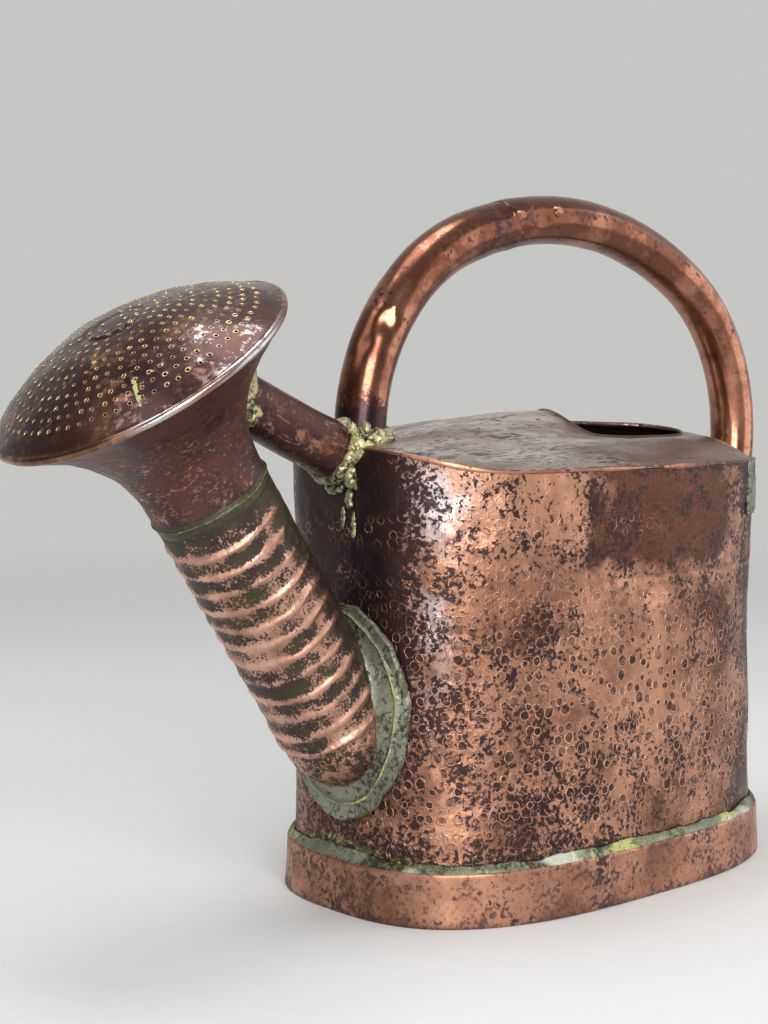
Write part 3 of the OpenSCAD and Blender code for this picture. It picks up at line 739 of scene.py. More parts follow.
def finishes():
    """Builds every finish once and keeps it by name."""
    if FINISHES:
        return FINISHES
    colours = bpy.context.scene.can_colours
    groups = {"oxide": oxide_group(), "peening": peening_group(), "verdigris": verdigris_group(colours)}
    coppers = {
        "wall": dict(
            cover=0.39, patch=0.014, rough=0.3, film=0.7, peen=0.0074, share=0.85, bowl_dark=1.0, bump=0.9,
            depth=0.00075, edge=0.035, brown=(0.12, 0.048, 0.029), oxide_dull=0.22,
            oxide=(0.046, 0.023, 0.021),
        ),
        "foot": dict(
            cover=0.34, patch=0.013, rough=0.37, film=0.6, bump=0.35, depth=0.0002, edge=0.09,
            oxide=(0.13, 0.06, 0.045),
        ),
        # The plate's copper is tinted a pale silvery grey, a painted reflection of the pale backdrop in the
        # metal's colour; its brown film and oxide are tarnish.
        "plate": dict(
            cover=0.36, patch=0.008, rough=0.27, film=0.75, stretch=(0.22, 1, 1), copper=(0.66, 0.595, 0.54),
            brown=(0.24, 0.165, 0.13), oxide=(0.13, 0.08, 0.062), edge=0.07, grain=(60, 700, 700),
        ),
        "handle": dict(
            cover=0.17, patch=0.016, rough=0.16, film=0.95, bump=0.22, depth=0.0002, edge=0.1,
            copper=(0.44, 0.205, 0.13), brown=(0.165, 0.064, 0.038), oxide=(0.085, 0.028, 0.024),
            oxide_dull=0.2,
        ),
        "spout": dict(
            cover=0.07, patch=0.007, rough=0.34, film=0.5, peen=0.0062, share=0.5, peen_strength=0.0,
            bump=0.6,
            depth=0.0004, edge=0.05, copper=(0.7, 0.41, 0.3), oxide=(0.05, 0.042, 0.02),
        ),
        "neck": dict(
            cover=0.78, patch=0.012, rough=0.32, bump=0.45, oxide=(0.095, 0.032, 0.024),
            scrapes=(130, 700, 1),
            scratch=0.5,
        ),
        "rose": dict(
            cover=0.78, patch=0.022, rough=0.19, bump=0.35, oxide=(0.07, 0.03, 0.02), pale=0.7,
            brown=(0.15, 0.07, 0.04), oxide_dull=0.15, oxide_rough=0.03,
        ),
        "brace": dict(
            cover=0.8, patch=0.012, rough=0.27, film=0.8, edge=0.1, oxide=(0.07, 0.028, 0.026),
            oxide_dull=0.3, scrapes=(450, 90, 1),
        ),
        "dark": dict(cover=0.85, patch=0.03, rough=0.5, edge=0.2),
    }
    for name, look in coppers.items():
        FINISHES[name] = copper_finish("copper_" + name, groups, colours, look)
    solders = {
        "solder": dict(
            green=0.3, pale=0.5, cover=0.42, rough=0.34, base=(0.27, 0.27, 0.16), lead=(0.55, 0.5, 0.27)
        ),
        "flange": dict(green=0.16, pale=0.24, cover=0.36, rough=0.36, lead=(0.27, 0.27, 0.2)),
        "ring": dict(
            green=0.16, pale=0.3, cover=0.66, rough=0.36, base=(0.075, 0.07, 0.035), lead=(0.11, 0.09, 0.05)
        ),
        "bead": dict(green=0.44, pale=0.5, cover=0.42, lead=(0.24, 0.25, 0.17)),
        "patch": dict(green=0.06, pale=0.5, cover=0.3, lead=(0.24, 0.24, 0.22)),
    }
    for name, look in solders.items():
        FINISHES[name] = solder_finish("solder_" + name, groups, colours, look)
    return FINISHES


# ---- body


def wall_place(sizes, columns, share, grow=0.0):
    """Points of the wall: the outline carried up from the bottom edge to the rim by each share of the
    height."""
    line, out, around, angle = oval_line(sizes, columns, grow)
    top = rim_height(sizes, angle) - sizes.sheet
    z = sizes.wall_lift + (top - sizes.wall_lift) * share[:, None]
    flat = np.broadcast_to(line, (len(share), columns, 2))
    return np.concatenate([flat, z[..., None]], -1), np.concatenate([out, 0 * out[:, :1]], -1), around


def region(p, centre, reach):
    """1 at a centre, fading to 0 with the distance measured in the reach along each axis, all in
    millimetres."""
    d = ((p - np.array(centre) * MM) / (np.array(reach) * MM)) ** 2
    return np.exp(-d.sum(-1))


def spots(p, *rows):
    """A sum of regions, each given by its weight, centre and reach."""
    return sum(weight * region(p, centre, reach) for weight, centre, reach in rows)


def near_line(p, first, last, reach):
    """1 on the line between two places, fading to 0 at the reach, all in millimetres."""
    a, b = np.array(first) * MM, np.array(last) * MM
    share = np.clip((p - a) @ (b - a) / ((b - a) @ (b - a)), 0, 1)
    return ramp(1 - np.linalg.norm(p - a - share[..., None] * (b - a), axis=-1) / (reach * MM), 0, 0.6)


WALL_DENTS = [
    ((-84, -84, 229), 9, -1.3), ((-72, -86, 226), 7, 1.1), ((-60, -88, 221), 9, -1.2),
    ((-95, -80, 216), 11, 0.8),
    ((-128, -60, 222), 15, -1.2), ((-112, -71, 205), 10, -0.7), ((-62, -88, 140), 13, -1.0),
    ((-76, -85, 122), 12, 0.9),
    ((-20, -90, 205), 26, -1.2), ((40, -90, 214), 22, -1.0), ((80, -85, 190), 20, -1.1),
    ((60, -88, 120), 24, 0.9),
    ((-100, -77, 70), 17, -0.9), ((-40, -90, 66), 22, 0.7), ((20, -90, 150), 26, 0.8),
    ((-134, -53, 150), 14, 0.9),
    ((30, 90, 180), 26, -1.6), ((-50, 90, 110), 30, -1.5), ((90, 82, 90), 22, 1.2),
    ((-110, 72, 190), 18, -1.4),
    ((144, 20, 120), 20, -1.3), ((145, -25, 170), 16, 1.0), ((-146, 20, 180), 14, -1.0),
    ((120, -68, 60), 18, -1.0),
]


def build_wall(sizes):
    """The beaten wall: outside surface with waist, waves, hammer marks and dents, over the rim and down the
    inside, closed below."""
    columns, rows = 460, 168
    share = np.linspace(0, 1, rows)
    p, out, around = wall_place(sizes, columns, share)
    z = p[..., 2]
    s = np.broadcast_to(around, z.shape)
    free = ramp(share, 0.1, 0.25)[:, None] * ramp(1 - share, 0.0, 0.06)[:, None]
    total = around[-1] + around[1]
    big, big_own = nearest_mark(s, z, total / 40, 5, 40)
    small, own = nearest_mark(s, z, total / 88, 9, 88)
    push = -sizes.waist * np.sin(np.pi * share)[:, None] * np.ones_like(z)
    push += free * (0.0009 * clouds(p, 0.075, 3) + 0.00035 * cloud(p, 0.022, 11))
    push -= free * 0.00034 * bump(big, 0, 0.0075) * (0.4 + big_own)
    push += free * (0.00008 * bump(small, 0.0038, 0.001) - 0.0002 * bump(small, 0, 0.0028) * (own > 0.3))
    push += dented(p, WALL_DENTS) * ramp(share, 0.08, 0.2)[:, None]
    crease = 0.174 + 0.0015 * cloud(p, 0.06, 21)
    push -= 0.0004 * bump(z, crease, 0.0011) * ramp(p[..., 0], -0.06, -0.03) * (p[..., 1] < 0)
    outer = p + out * push[..., None]
    inner_share = np.linspace(1, 0, 30)
    q, inward, _ = wall_place(sizes, columns, inner_share, -sizes.sheet)
    follow = np.array([np.interp(inner_share, share, push[:, k]) for k in range(columns)]).T
    q = q + inward * follow[..., None]
    rings = np.concatenate([outer, q])

    front = ramp(-p[..., 1], 0.02, 0.05)
    x = p[..., 0]
    low = ramp(0.15 - z, 0.0, 0.06)
    streaks = clouds(p * (1, 1, 0.16), 0.0075, 33)
    heel = ramp(x, 0.075, 0.115) * ramp(-p[..., 1], -0.05, 0.0)
    grime = 0.12 * clouds(p, 0.055, 31) + 0.16 * clouds(p, 0.02, 35) + 0.05 * streaks * ramp(x, -0.06, 0.0)
    grime += 0.5 * ramp(-x, 0.134, 0.145) * ramp(z, 0.1, 0.14) + 0.14 * ramp(-x, 0.124, 0.14)
    grime += front * spots(
        p, (0.22, (-100, -78, 226), (36, 30, 10)), (0.3, (-96, -80, 197), (30, 30, 5)),
        (0.14, (-66, -87, 140), (14, 30, 16))
    )
    grime += low * front * (
        0.06 + spots(p, (0.14, (-70, -86, 60), (45, 40, 34)), (0.08, (30, -90, 60), (70, 40, 26)))
    )
    grime += heel * (0.1 + 0.55 * np.clip(streaks, -0.3, 1)) + 0.16 * ramp(0.045 - z, 0.0, 0.016)
    grime += (
        0.3 * region(p, (66, -88, 234), (60, 30, 4)) + 0.12 * ramp(p[..., 1], 0.0, 0.05)
        - 0.06 * front * ramp(x, -0.05, -0.02) * ramp(0.08 - x, 0.0, 0.03)
    )
    smooth = front * ramp(x, -0.052, -0.046) * ramp(0.08 - x, 0, 0.025) * ramp(z, 0.176, 0.19)
    # Rubbed places on the front; the tall narrow spot at (-128, -60, 70) is a painted highlight, bare copper
    # laid down the front bend where the lamps' reflection falls.
    wear_and_highlight = front * spots(
        p, (0.22, (-50, -88, 168), (34, 40, 14)), (0.34, (-72, -87, 226), (20, 30, 9)),
        (0.2, (-128, -60, 70), (9, 12, 45)), (0.1, (0, -90, 120), (40, 40, 22))
    )
    wear_and_highlight += 0.05 * low * front - 0.04 * smooth
    wear_and_highlight += 0.3 * front * bump(z, crease, 0.0009) * ramp(x, -0.06, -0.03)
    film = (
        smooth * (1.0 + 0.4 * clouds(p, 0.012, 39, 3)) + 0.25 * front * ramp(x, 0.0, 0.06)
        + 0.34 * clouds(p, 0.045, 41) + 0.02 - 0.28 * ramp(z, 0.19, 0.21)
        + front * spots(p, (-0.25, (0, -90, 120), (60, 40, 40)), (0.2, (-90, -80, 110), (30, 40, 60)))
    )
    # Painted sheen: a grey painted reflection on the front bend below the rim, a painted highlight in a tall
    # stripe lower down the same bend, and painted sheen in streaks towards the heel.
    painted_sheen = 0.95 * front * region(p, (-131, -56, 222), (14, 24, 17)) * ramp(clouds(p, 0.016, 43), -0.5, 0.2)
    painted_sheen += (
        0.6 * front * region(p, (-131, -57, 160), (7, 12, 50)) * ramp(clouds(p, 0.012, 44), -0.3, 0.3)
        + 0.4 * ramp(x, 0.105, 0.13) * ramp(-p[..., 1], 0, 0.05) * ramp(streaks, -0.2, 0.3)
    )
    green = 0.42 * ramp(0.04 - z, -0.006, 0.006)
    green += spots(
        p, (0.36, (-147, -8, 205), (12, 22, 34)), (0.3, (-143, 0, 48), (14, 50, 14)),
        (0.46, (88, -83, 232), (3, 6, 3)), (0.2, (140, 0, 160), (14, 30, 40))
    )
    peened = (
        ramp(0.235 - z, 0.075, 0.1) * ramp(z, 0.045, 0.06) * 0.75
        + 0.75 * bump(z, 0.203, 0.006) * ramp(-x, -0.02, 0.04) + 0.3 * ramp(0.19 - z, 0.0, 0.02)
    )
    marks = dict(
        grime=grime, wear_and_highlight=wear_and_highlight, film=film, painted_sheen=np.clip(painted_sheen, 0, 1), green=green, peened=peened - 0.95
    )
    inside = dict(grime=0.6, wear_and_highlight=0.0, film=0.4, painted_sheen=0.0, green=0.1, peened=-1.0)
    marks = {k: np.concatenate([v, np.full(q.shape[:2], inside[k])]) for k, v in marks.items()}
    along = np.concatenate([share, 2 - inner_share]) * sizes.body_height
    return shell("beaten_wall", rings, True, marks=marks, around=around, along=along)


def build_foot_band(sizes):
    """The smooth band round the foot: a four-sided section with rounded corners, flaring a little to the
    sole, carried round the oval."""
    columns = 460
    line, out, around, _ = oval_line(sizes, columns)
    t, flare, h = sizes.band_thickness, sizes.band_flare, sizes.band_height
    z = np.concatenate(
        [
            [0.0, 0.0004, 0.0012], np.linspace(0.003, h - 0.0022, 18), [h - 0.0012, h - 0.0004, h, h],
            [h, h * 0.6, 0.001, 0.0, 0.0]
        ]
    )
    side = t + flare * (1 - z / h) ** 1.3
    grow = np.concatenate(
        [
            [side[0] - 0.0008, side[1] - 0.0003], side[2:21],
            [side[21], side[22] - 0.0003, t - 0.0009, t * 0.5],
            [-0.0004, -0.0004, -0.0004, 0.0004, side[0] * 0.6]
        ]
    )
    p = np.concatenate([line + 0 * z[:, None, None], (z[:, None] + 0 * around)[..., None]], -1)
    rippling = 0.00035 * clouds(p, 0.05, 51) + 0.00012 * cloud(p, 0.016, 55)
    shape = grow[:, None] + np.where(grow[:, None] > 0.002, rippling, 0)
    p[..., :2] += out * shape[..., None]
    grime = (
        0.16 * clouds(p, 0.05, 57) + 0.1 * clouds(p * (1, 1, 0.4), 0.012, 56)
        + 0.16 * bump(p[..., 2], 0.0, 0.0035) + 0.1 * region(p, (-40, -92, 12), (50, 20, 12))
    )
    grime += spots(
        p, (0.22, (8, -92, 14), (6, 12, 12)), (0.22, (-147, 10, 14), (10, 40, 20)),
        (0.15, (-125, -66, 22), (20, 20, 8))
    )
    green = (
        0.62 * region(p, (-99.7, -83, 14.7), (2.6, 6, 2.2)) + 0.3 * bump(p[..., 2], 0.0285, 0.0016)
        + 0.18 * bump(p[..., 2], 0.0, 0.0016)
    )
    film = 0.3 * clouds(p, 0.035, 59)
    marks = dict(grime=grime, green=green, film=film, wear_and_highlight=0.05 + 0 * grime)
    return shell("foot_band", p, True, marks=marks)


def build_foot_bead(sizes):
    """The solder between band and wall: a fillet whose height and width wander, carried round the oval."""
    columns = 520
    line, out, around, _ = oval_line(sizes, columns)
    ring = np.concatenate([line, 0 * around[:, None]], -1)
    lump = clouds(ring, 0.016, 61, 3)
    slow = cloud(ring, 0.07, 64)
    height = sizes.bead_height * (1.0 + 0.35 * lump + 0.3 * slow)
    width = (sizes.band_thickness - 0.0002) * (0.92 + 0.08 * lump)
    turn_ = np.linspace(0, 1, 9)
    rise = (1 - turn_) ** 1.25
    reach = turn_**1.15
    base = sizes.band_height
    z = base + height[None] * rise[:, None]
    grow = width[None] * reach[:, None]
    swollen = np.sin(np.pi * turn_)[:, None] * (0.0004 + 0.0004 * cloud(ring, 0.008, 66)[None])
    z, grow = z + swollen, grow + swollen
    z = np.concatenate([z, 0 * z[:1] + base - 0.0008, 0 * z[:1] + base - 0.0008])
    grow = np.concatenate([grow, grow[-1:] - 0.0006, 0 * grow[:1] - 0.0006])
    p = oval_rows(line, out, grow, z)
    near = ramp(-p[..., 1], 0.0, 0.05)
    pale = 0.3 * clouds(p, 0.022, 67)
    pale += near * (0.2 * bump(p[..., 0], -0.05, 0.05) + 0.15 * bump(p[..., 0], 0.09, 0.03))
    marks = dict(
        pale=pale,
        white=0.75 * ramp(clouds(p, 0.018, 68), 0.15, 0.6) * near,
        green=0.22 * clouds(p, 0.025, 69), grime=0.25 * clouds(p, 0.03, 70), film=0 * z,
    )
    return shell("foot_bead", p, True, marks=marks)


def plate_surface(sizes, share, columns):
    """The top plate: each point lies a share of the way from the inset outline to the oval lip, and its
    height rises from rim to lip
    by 1 less the remaining share raised to the doming power."""
    t = full_turn(columns)
    ox, oy = oval_edge(sizes, t, -sizes.border).T
    lx = sizes.mouth_middle + sizes.mouth_length / 2 * np.cos(t)
    ly = sizes.mouth_width / 2 * np.sin(t)
    u = share[:, None]
    k = 1 - (1 - u) ** sizes.doming
    rim = rim_height(sizes, t)
    lip = sizes.body_height + sizes.lip_rise + sizes.hood_rise * swell(t, 50) + sizes.lip_tilt * np.sin(t)
    return np.stack([(1 - u) * ox + u * lx, (1 - u) * oy + u * ly, (1 - k) * rim + k * lip], -1), t


PLATE_DENTS = [
    ((-75, -40, 250), 18, -1.5), ((-40, 30, 258), 26, -1.4), ((-20, -55, 245), 20, 1.3),
    ((20, -62, 243), 17, -1.4), ((100, 50, 245), 16, -1.3), ((-100, 35, 250), 16, 1.2),
    ((60, -58, 243), 13, 1.2),
]


def build_top_plate(sizes):
    """The domed plate with its mouth: upper side, rolled lip, underside, closed at the border."""
    columns = 420
    share = np.concatenate([[0.0], np.linspace(0.006, 1, 84) ** 0.9])
    p, t = plate_surface(sizes, share, columns)
    edge = ramp(share, 0.0, 0.08)[:, None] * ramp(1 - share, 0.0, 0.05)[:, None]
    lift = edge * (0.001 * clouds(p, 0.06, 71) + 0.00035 * clouds(p, 0.02, 74))
    rolled = 0.0016 * np.sin(np.pi * ramp(share, 0.965, 1.0))[:, None]
    p[..., 2] += lift + edge * dented(p, PLATE_DENTS) + rolled
    outline = oval_edge(sizes, t)
    under = p[::-6].copy()
    under[..., 2] -= sizes.sheet
    rim = rim_height(sizes, t)
    border = np.stack([np.column_stack([outline, z]) for z in (rim - sizes.sheet, rim + 0.0001)])
    rings = np.concatenate([border, p, under])
    grime = (
        0.12 * clouds(p, 0.05, 81) + 0.2 * region(p, (60, -60, 245), (60, 18, 20))
        + 0.22 * ramp(share, 0.86, 1.0)[:, None]
    )
    grime += 0.3 * region(p, (-132, 0, 250), (14, 24, 20)) + 0.25 * ramp(0.02 - share, 0, 0.02)[:, None]
    green = (
        spots(p, (0.44, (-132, 0, 251), (9, 20, 20)), (0.5, (14, -15, 254), (4, 4, 12)))
        + 0.14 * ramp(0.06 - share, 0, 0.05)[:, None]
    )
    film = (
        1.1 * ramp(p[..., 0], -0.02, 0.05) * ramp(-p[..., 1], 0.0, 0.03) + 0.3 * clouds(p, 0.06, 83)
        + 0.6 * ramp(share, 0.9, 1.0)[:, None]
    )
    beneath = np.ones((len(under), columns))
    marks = {
        key: np.concatenate([value[:1], value[:1], value, inner * beneath])
        for key, value, inner in (("grime", grime, 0.7), ("green", green, 0.1), ("film", film, 0.1))
    }
    return shell("top_plate_skin", rings, True, marks=marks)


def build_rim_fold(sizes):
    """The plate's edge folded over the wall: a thin flattened roll along the rim whose lower edge wanders."""
    columns = 520
    line, out, around, angle = oval_line(sizes, columns)
    ring = np.concatenate([line, 0 * around[:, None]], -1)
    wander = clouds(ring, 0.03, 91, 3)
    top = rim_height(sizes, angle)
    turn_ = full_turn(12)
    wide = 0.0006 + 0.0002 * cloud(ring, 0.012, 94)
    tall = 0.001 + 0.0005 * wander
    grow = 0.0001 + wide[None] * np.cos(turn_)[:, None]
    z = (top - 0.001)[None] + tall[None] * np.sin(turn_)[:, None] + 0.0003 * cloud(ring, 0.02, 96)[None]
    p = oval_rows(line, out, grow, z)
    grime = 0.12 + 0.4 * clouds(p, 0.03, 97) + 0.2 * ramp(p[..., 0], 0.0, 0.06)
    marks = dict(
        grime=grime, wear_and_highlight=0.25 * ramp(-p[..., 0], -0.02, 0.05),
        film=0.4 * ramp(p[..., 0], 0.0, 0.05) + 0 * grime, green=0 * grime
    )
    return shell("rim_fold", p, True, marks=marks)


def build_patch(sizes, place):
    """A grey solder patch with a ragged edge on the wall's top, lying on the wall's curve and thinning to its
    border."""
    angle = math.radians(-50)
    u = np.linspace(-1, 1, 40)
    v = np.linspace(-1, 1, 48)
    half_w, half_h = 0.009, 0.016
    fine = np.linspace(-0.35, 0.35, 2001) + angle
    edge = oval_edge(sizes, fine)
    walked = np.concatenate([[0], np.cumsum(np.hypot(*np.diff(edge, axis=0).T))])
    walked -= walked[1000]
    turns = np.interp(u * half_w, walked, fine)
    flat = oval_edge(sizes, turns)
    nx, ny = np.gradient(flat[:, 1]), -np.gradient(flat[:, 0])
    size = np.hypot(nx, ny)
    out = np.stack([nx / size, ny / size], -1)
    z = place + v * half_h
    p = np.zeros((len(v), len(u), 3))
    p[..., :2] = flat[None]
    p[..., 2] = z[:, None]
    rim = np.maximum(np.abs(u)[None], np.abs(v)[:, None]) + 0.22 * clouds(p, 0.009, 101, 3)
    thick = 0.0011 * ramp(1.0 - rim, -0.05, 0.35) + 0.0003 * clouds(p, 0.006, 103) * ramp(1.0 - rim, 0, 0.2)
    front = p.copy()
    front[..., :2] += out[None] * (thick - 0.001 * (rim > 1.0))[..., None]
    back = p.copy()
    back[..., :2] += out[None] * -0.0016
    marks = {
        "green": 0.5 * region(front, (88, -82, 233), (3.2, 5, 3.2)), "grime": 0.25 * clouds(front, 0.012, 105)
    }
    return slab("wall_patch_skin", front, back, marks)


def slab(name, front, back, marks):
    """A closed sheet between two grids of points: both faces, and a strip that joins their borders."""
    rows, columns = front.shape[:2]
    points = np.concatenate([front.reshape(-1, 3), back.reshape(-1, 3)])
    r, c = np.meshgrid(np.arange(rows - 1), np.arange(columns - 1), indexing="ij")
    a = r * columns + c
    face = np.stack([a, a + 1, a + columns + 1, a + columns], -1).reshape(-1, 4)
    n = rows * columns
    grid = np.arange(n).reshape(rows, columns)
    border = np.concatenate([grid[0, :-1], grid[:-1, -1], grid[-1, :0:-1], grid[:0:-1, 0]])
    following = np.roll(border, -1)
    strip = np.stack([border + n, following + n, following, border], -1)
    faces = np.concatenate([face, face[:, ::-1] + n, strip])
    if signed_volume(points, faces) < 0:
        faces = faces[:, ::-1]
    full = {k: np.concatenate([v.reshape(-1), v.reshape(-1)]) for k, v in marks.items()}
    return make_piece(name, points, [faces], full)


# ---- tubes


def tube_rings(centres, upper, side, radius, columns):
    """Rings of points round a centre line: the radius times the cosine on the upper side and the sine on the
    near side."""
    a = full_turn(columns)
    ring = upper[:, None] * np.cos(a)[None, :, None] + side[:, None] * np.sin(a)[None, :, None]
    return centres[:, None] + ring * np.broadcast_to(radius, (len(centres), columns))[..., None], ring, a


def tube(name, rings, marks, around, along):
    """A tube closed by a fan at the middle of each end ring."""
    poles = (rings[0].mean(0), rings[-1].mean(0))
    return shell(name, rings, poles=poles, marks=marks, around=around, along=along)


def handle_rings(sizes, first, last, radius, step, columns):
    """Rings of the handle between two distances along its centre line."""
    x, z, h, walked = bend_path(sizes)
    s = np.linspace(first, last, int(round((last - first) / step)) + 1)
    cx, cz, ch = (np.interp(s, walked, v) for v in (x, z, h))
    centres = np.stack([cx, 0 * cx, cz], -1)
    upper = np.stack([-np.cos(ch), 0 * ch, np.sin(ch)], -1)
    side = np.stack([0 * ch, -1 + 0 * ch, 0 * ch], -1)
    rings, out, a = tube_rings(centres, upper, side, radius, columns)
    return s, rings, out, a


def lap_place(sizes):
    """Distance along the handle at which the front tube ends on the rear one: the front bend and part of the
    crown."""
    return sizes.bend_1_radius * sizes.bend_1_sweep + sizes.bend_2_radius * sizes.lap_sweep


HANDLE_DENTS = [
    ((-121.6, -11.8, 311.3), 5.5, -1.5), ((-124, -10, 306), 9, -0.5), ((-117, -12, 318), 3.0, 0.5),
    ((-132.8, -6.3, 300.2), 3.5, -0.7),
    ((-36.5, -10.9, 373.3), 3.4, -1.0), ((-4.4, -13.9, 371.7), 4.2, -1.2), ((-21, -13.6, 364.6), 3.6, -0.6),
    ((-80, -8, 356), 12, -0.6),
    ((100, -12, 350), 14, -0.6), ((150, -10, 310), 12, -0.5), ((60, 10, 368), 14, -0.8),
    ((-100, 12, 330), 12, -0.9),
]


def build_front_tube(sizes):
    """The handle's front tube, from its foot over the front bend to a ragged lip lapped on the rear tube."""
    lap = lap_place(sizes)
    end = lap + 0.022
    s, rings, out, a = handle_rings(sizes, -0.0005, end, sizes.tube_radius, 0.0019, 96)
    reach = s[:, None] + 0 * a[None]
    lip = (
        lap + 0.004 + 0.016 * bump(a, 0.9, 0.55)[None] + 0.003 * np.sin(3 * a + 1)[None]
        + 0.0015 * np.sin(7 * a)[None]
    )
    over = ramp(reach, lap - 0.05, lap - 0.02)
    push = dented(rings, HANDLE_DENTS) + 0.0003 * clouds(rings, 0.035, 111)
    push += -0.0007 * over * (0.5 + 0.5 * np.cos(a - 0.6))[None] * bump(reach, lap - 0.01, 0.03)
    push += 0.0006 * over
    push = np.where(reach > lip, -0.0022, push)
    rings = rings + out * push[..., None]
    film = 0.15 + 0.4 * clouds(rings, 0.05, 113) + 0.5 * over + 0.35 * ramp(s, 0.1, 0.16)[:, None]
    grime = (
        0.1 * clouds(rings, 0.03, 115) + 0.75 * ramp(0.03 - s, 0, 0.022)[:, None]
        + 0.32 * over * bump(reach, lap, 0.035)
    )
    grime += 0.3 * bump(reach, lip, 0.0016) - 0.1 * region(rings, (-121.6, -11.8, 311.3), (9, 9, 9))
    green = (
        0.3 * ramp(0.012 - s, 0, 0.012)[:, None] + 0.5 * region(rings, (-36.5, -11, 373.3), (1.8, 3, 1.8))
        + 0 * grime
    )
    wear_and_highlight = spots(rings, (0.3, (-36.5, -11, 373.3), (5, 6, 5)), (0.25, (-118, -12, 316), (4, 5, 4)))
    marks = dict(film=film, grime=grime, green=green, wear_and_highlight=wear_and_highlight)
    return tube("handle_front", rings, marks, a * sizes.tube_radius, s)


def build_rear_tube(sizes):
    """The handle's rear tube, from the lap over the crown and down the rear limb to the heel."""
    lap = lap_place(sizes)
    end = bend_path(sizes)[3][-1]
    s, rings, out, a = handle_rings(sizes, lap, end, sizes.tube_radius - 0.0002, 0.0021, 84)
    reach = s[:, None] + 0 * a[None]
    push = dented(rings, HANDLE_DENTS) + 0.00028 * clouds(rings, 0.04, 121)
    seam = bump(a, 1.15, 0.05)[None] * ramp(reach, lap + 0.025, lap + 0.035)
    push += 0.00045 * seam
    rings = rings + out * push[..., None]
    film = 0.4 * clouds(rings, 0.05, 123) + 0.45 - 0.75 * ramp(s, lap + 0.1, lap + 0.22)[:, None]
    grime = (
        0.1 * clouds(rings, 0.03, 125) + 0.35 * bump(a, 1.32, 0.1)[None] * ramp(reach, lap + 0.03, lap + 0.05)
    )
    grime += 0.5 * ramp(s, end - 0.05, end - 0.01)[:, None] + 0.3 * ramp(lap + 0.03 - reach, 0, 0.02)
    wear_and_highlight = 0.35 * seam + 0.2 * region(rings, (-21, -13.6, 364.6), (5, 6, 5))
    green = 0.4 * ramp(s, end - 0.02, end)[:, None] + 0 * grime
    marks = dict(film=film, grime=grime, green=green, wear_and_highlight=wear_and_highlight)
    return tube("handle_rear", rings, marks, a * sizes.tube_radius, s)


# ---- spout


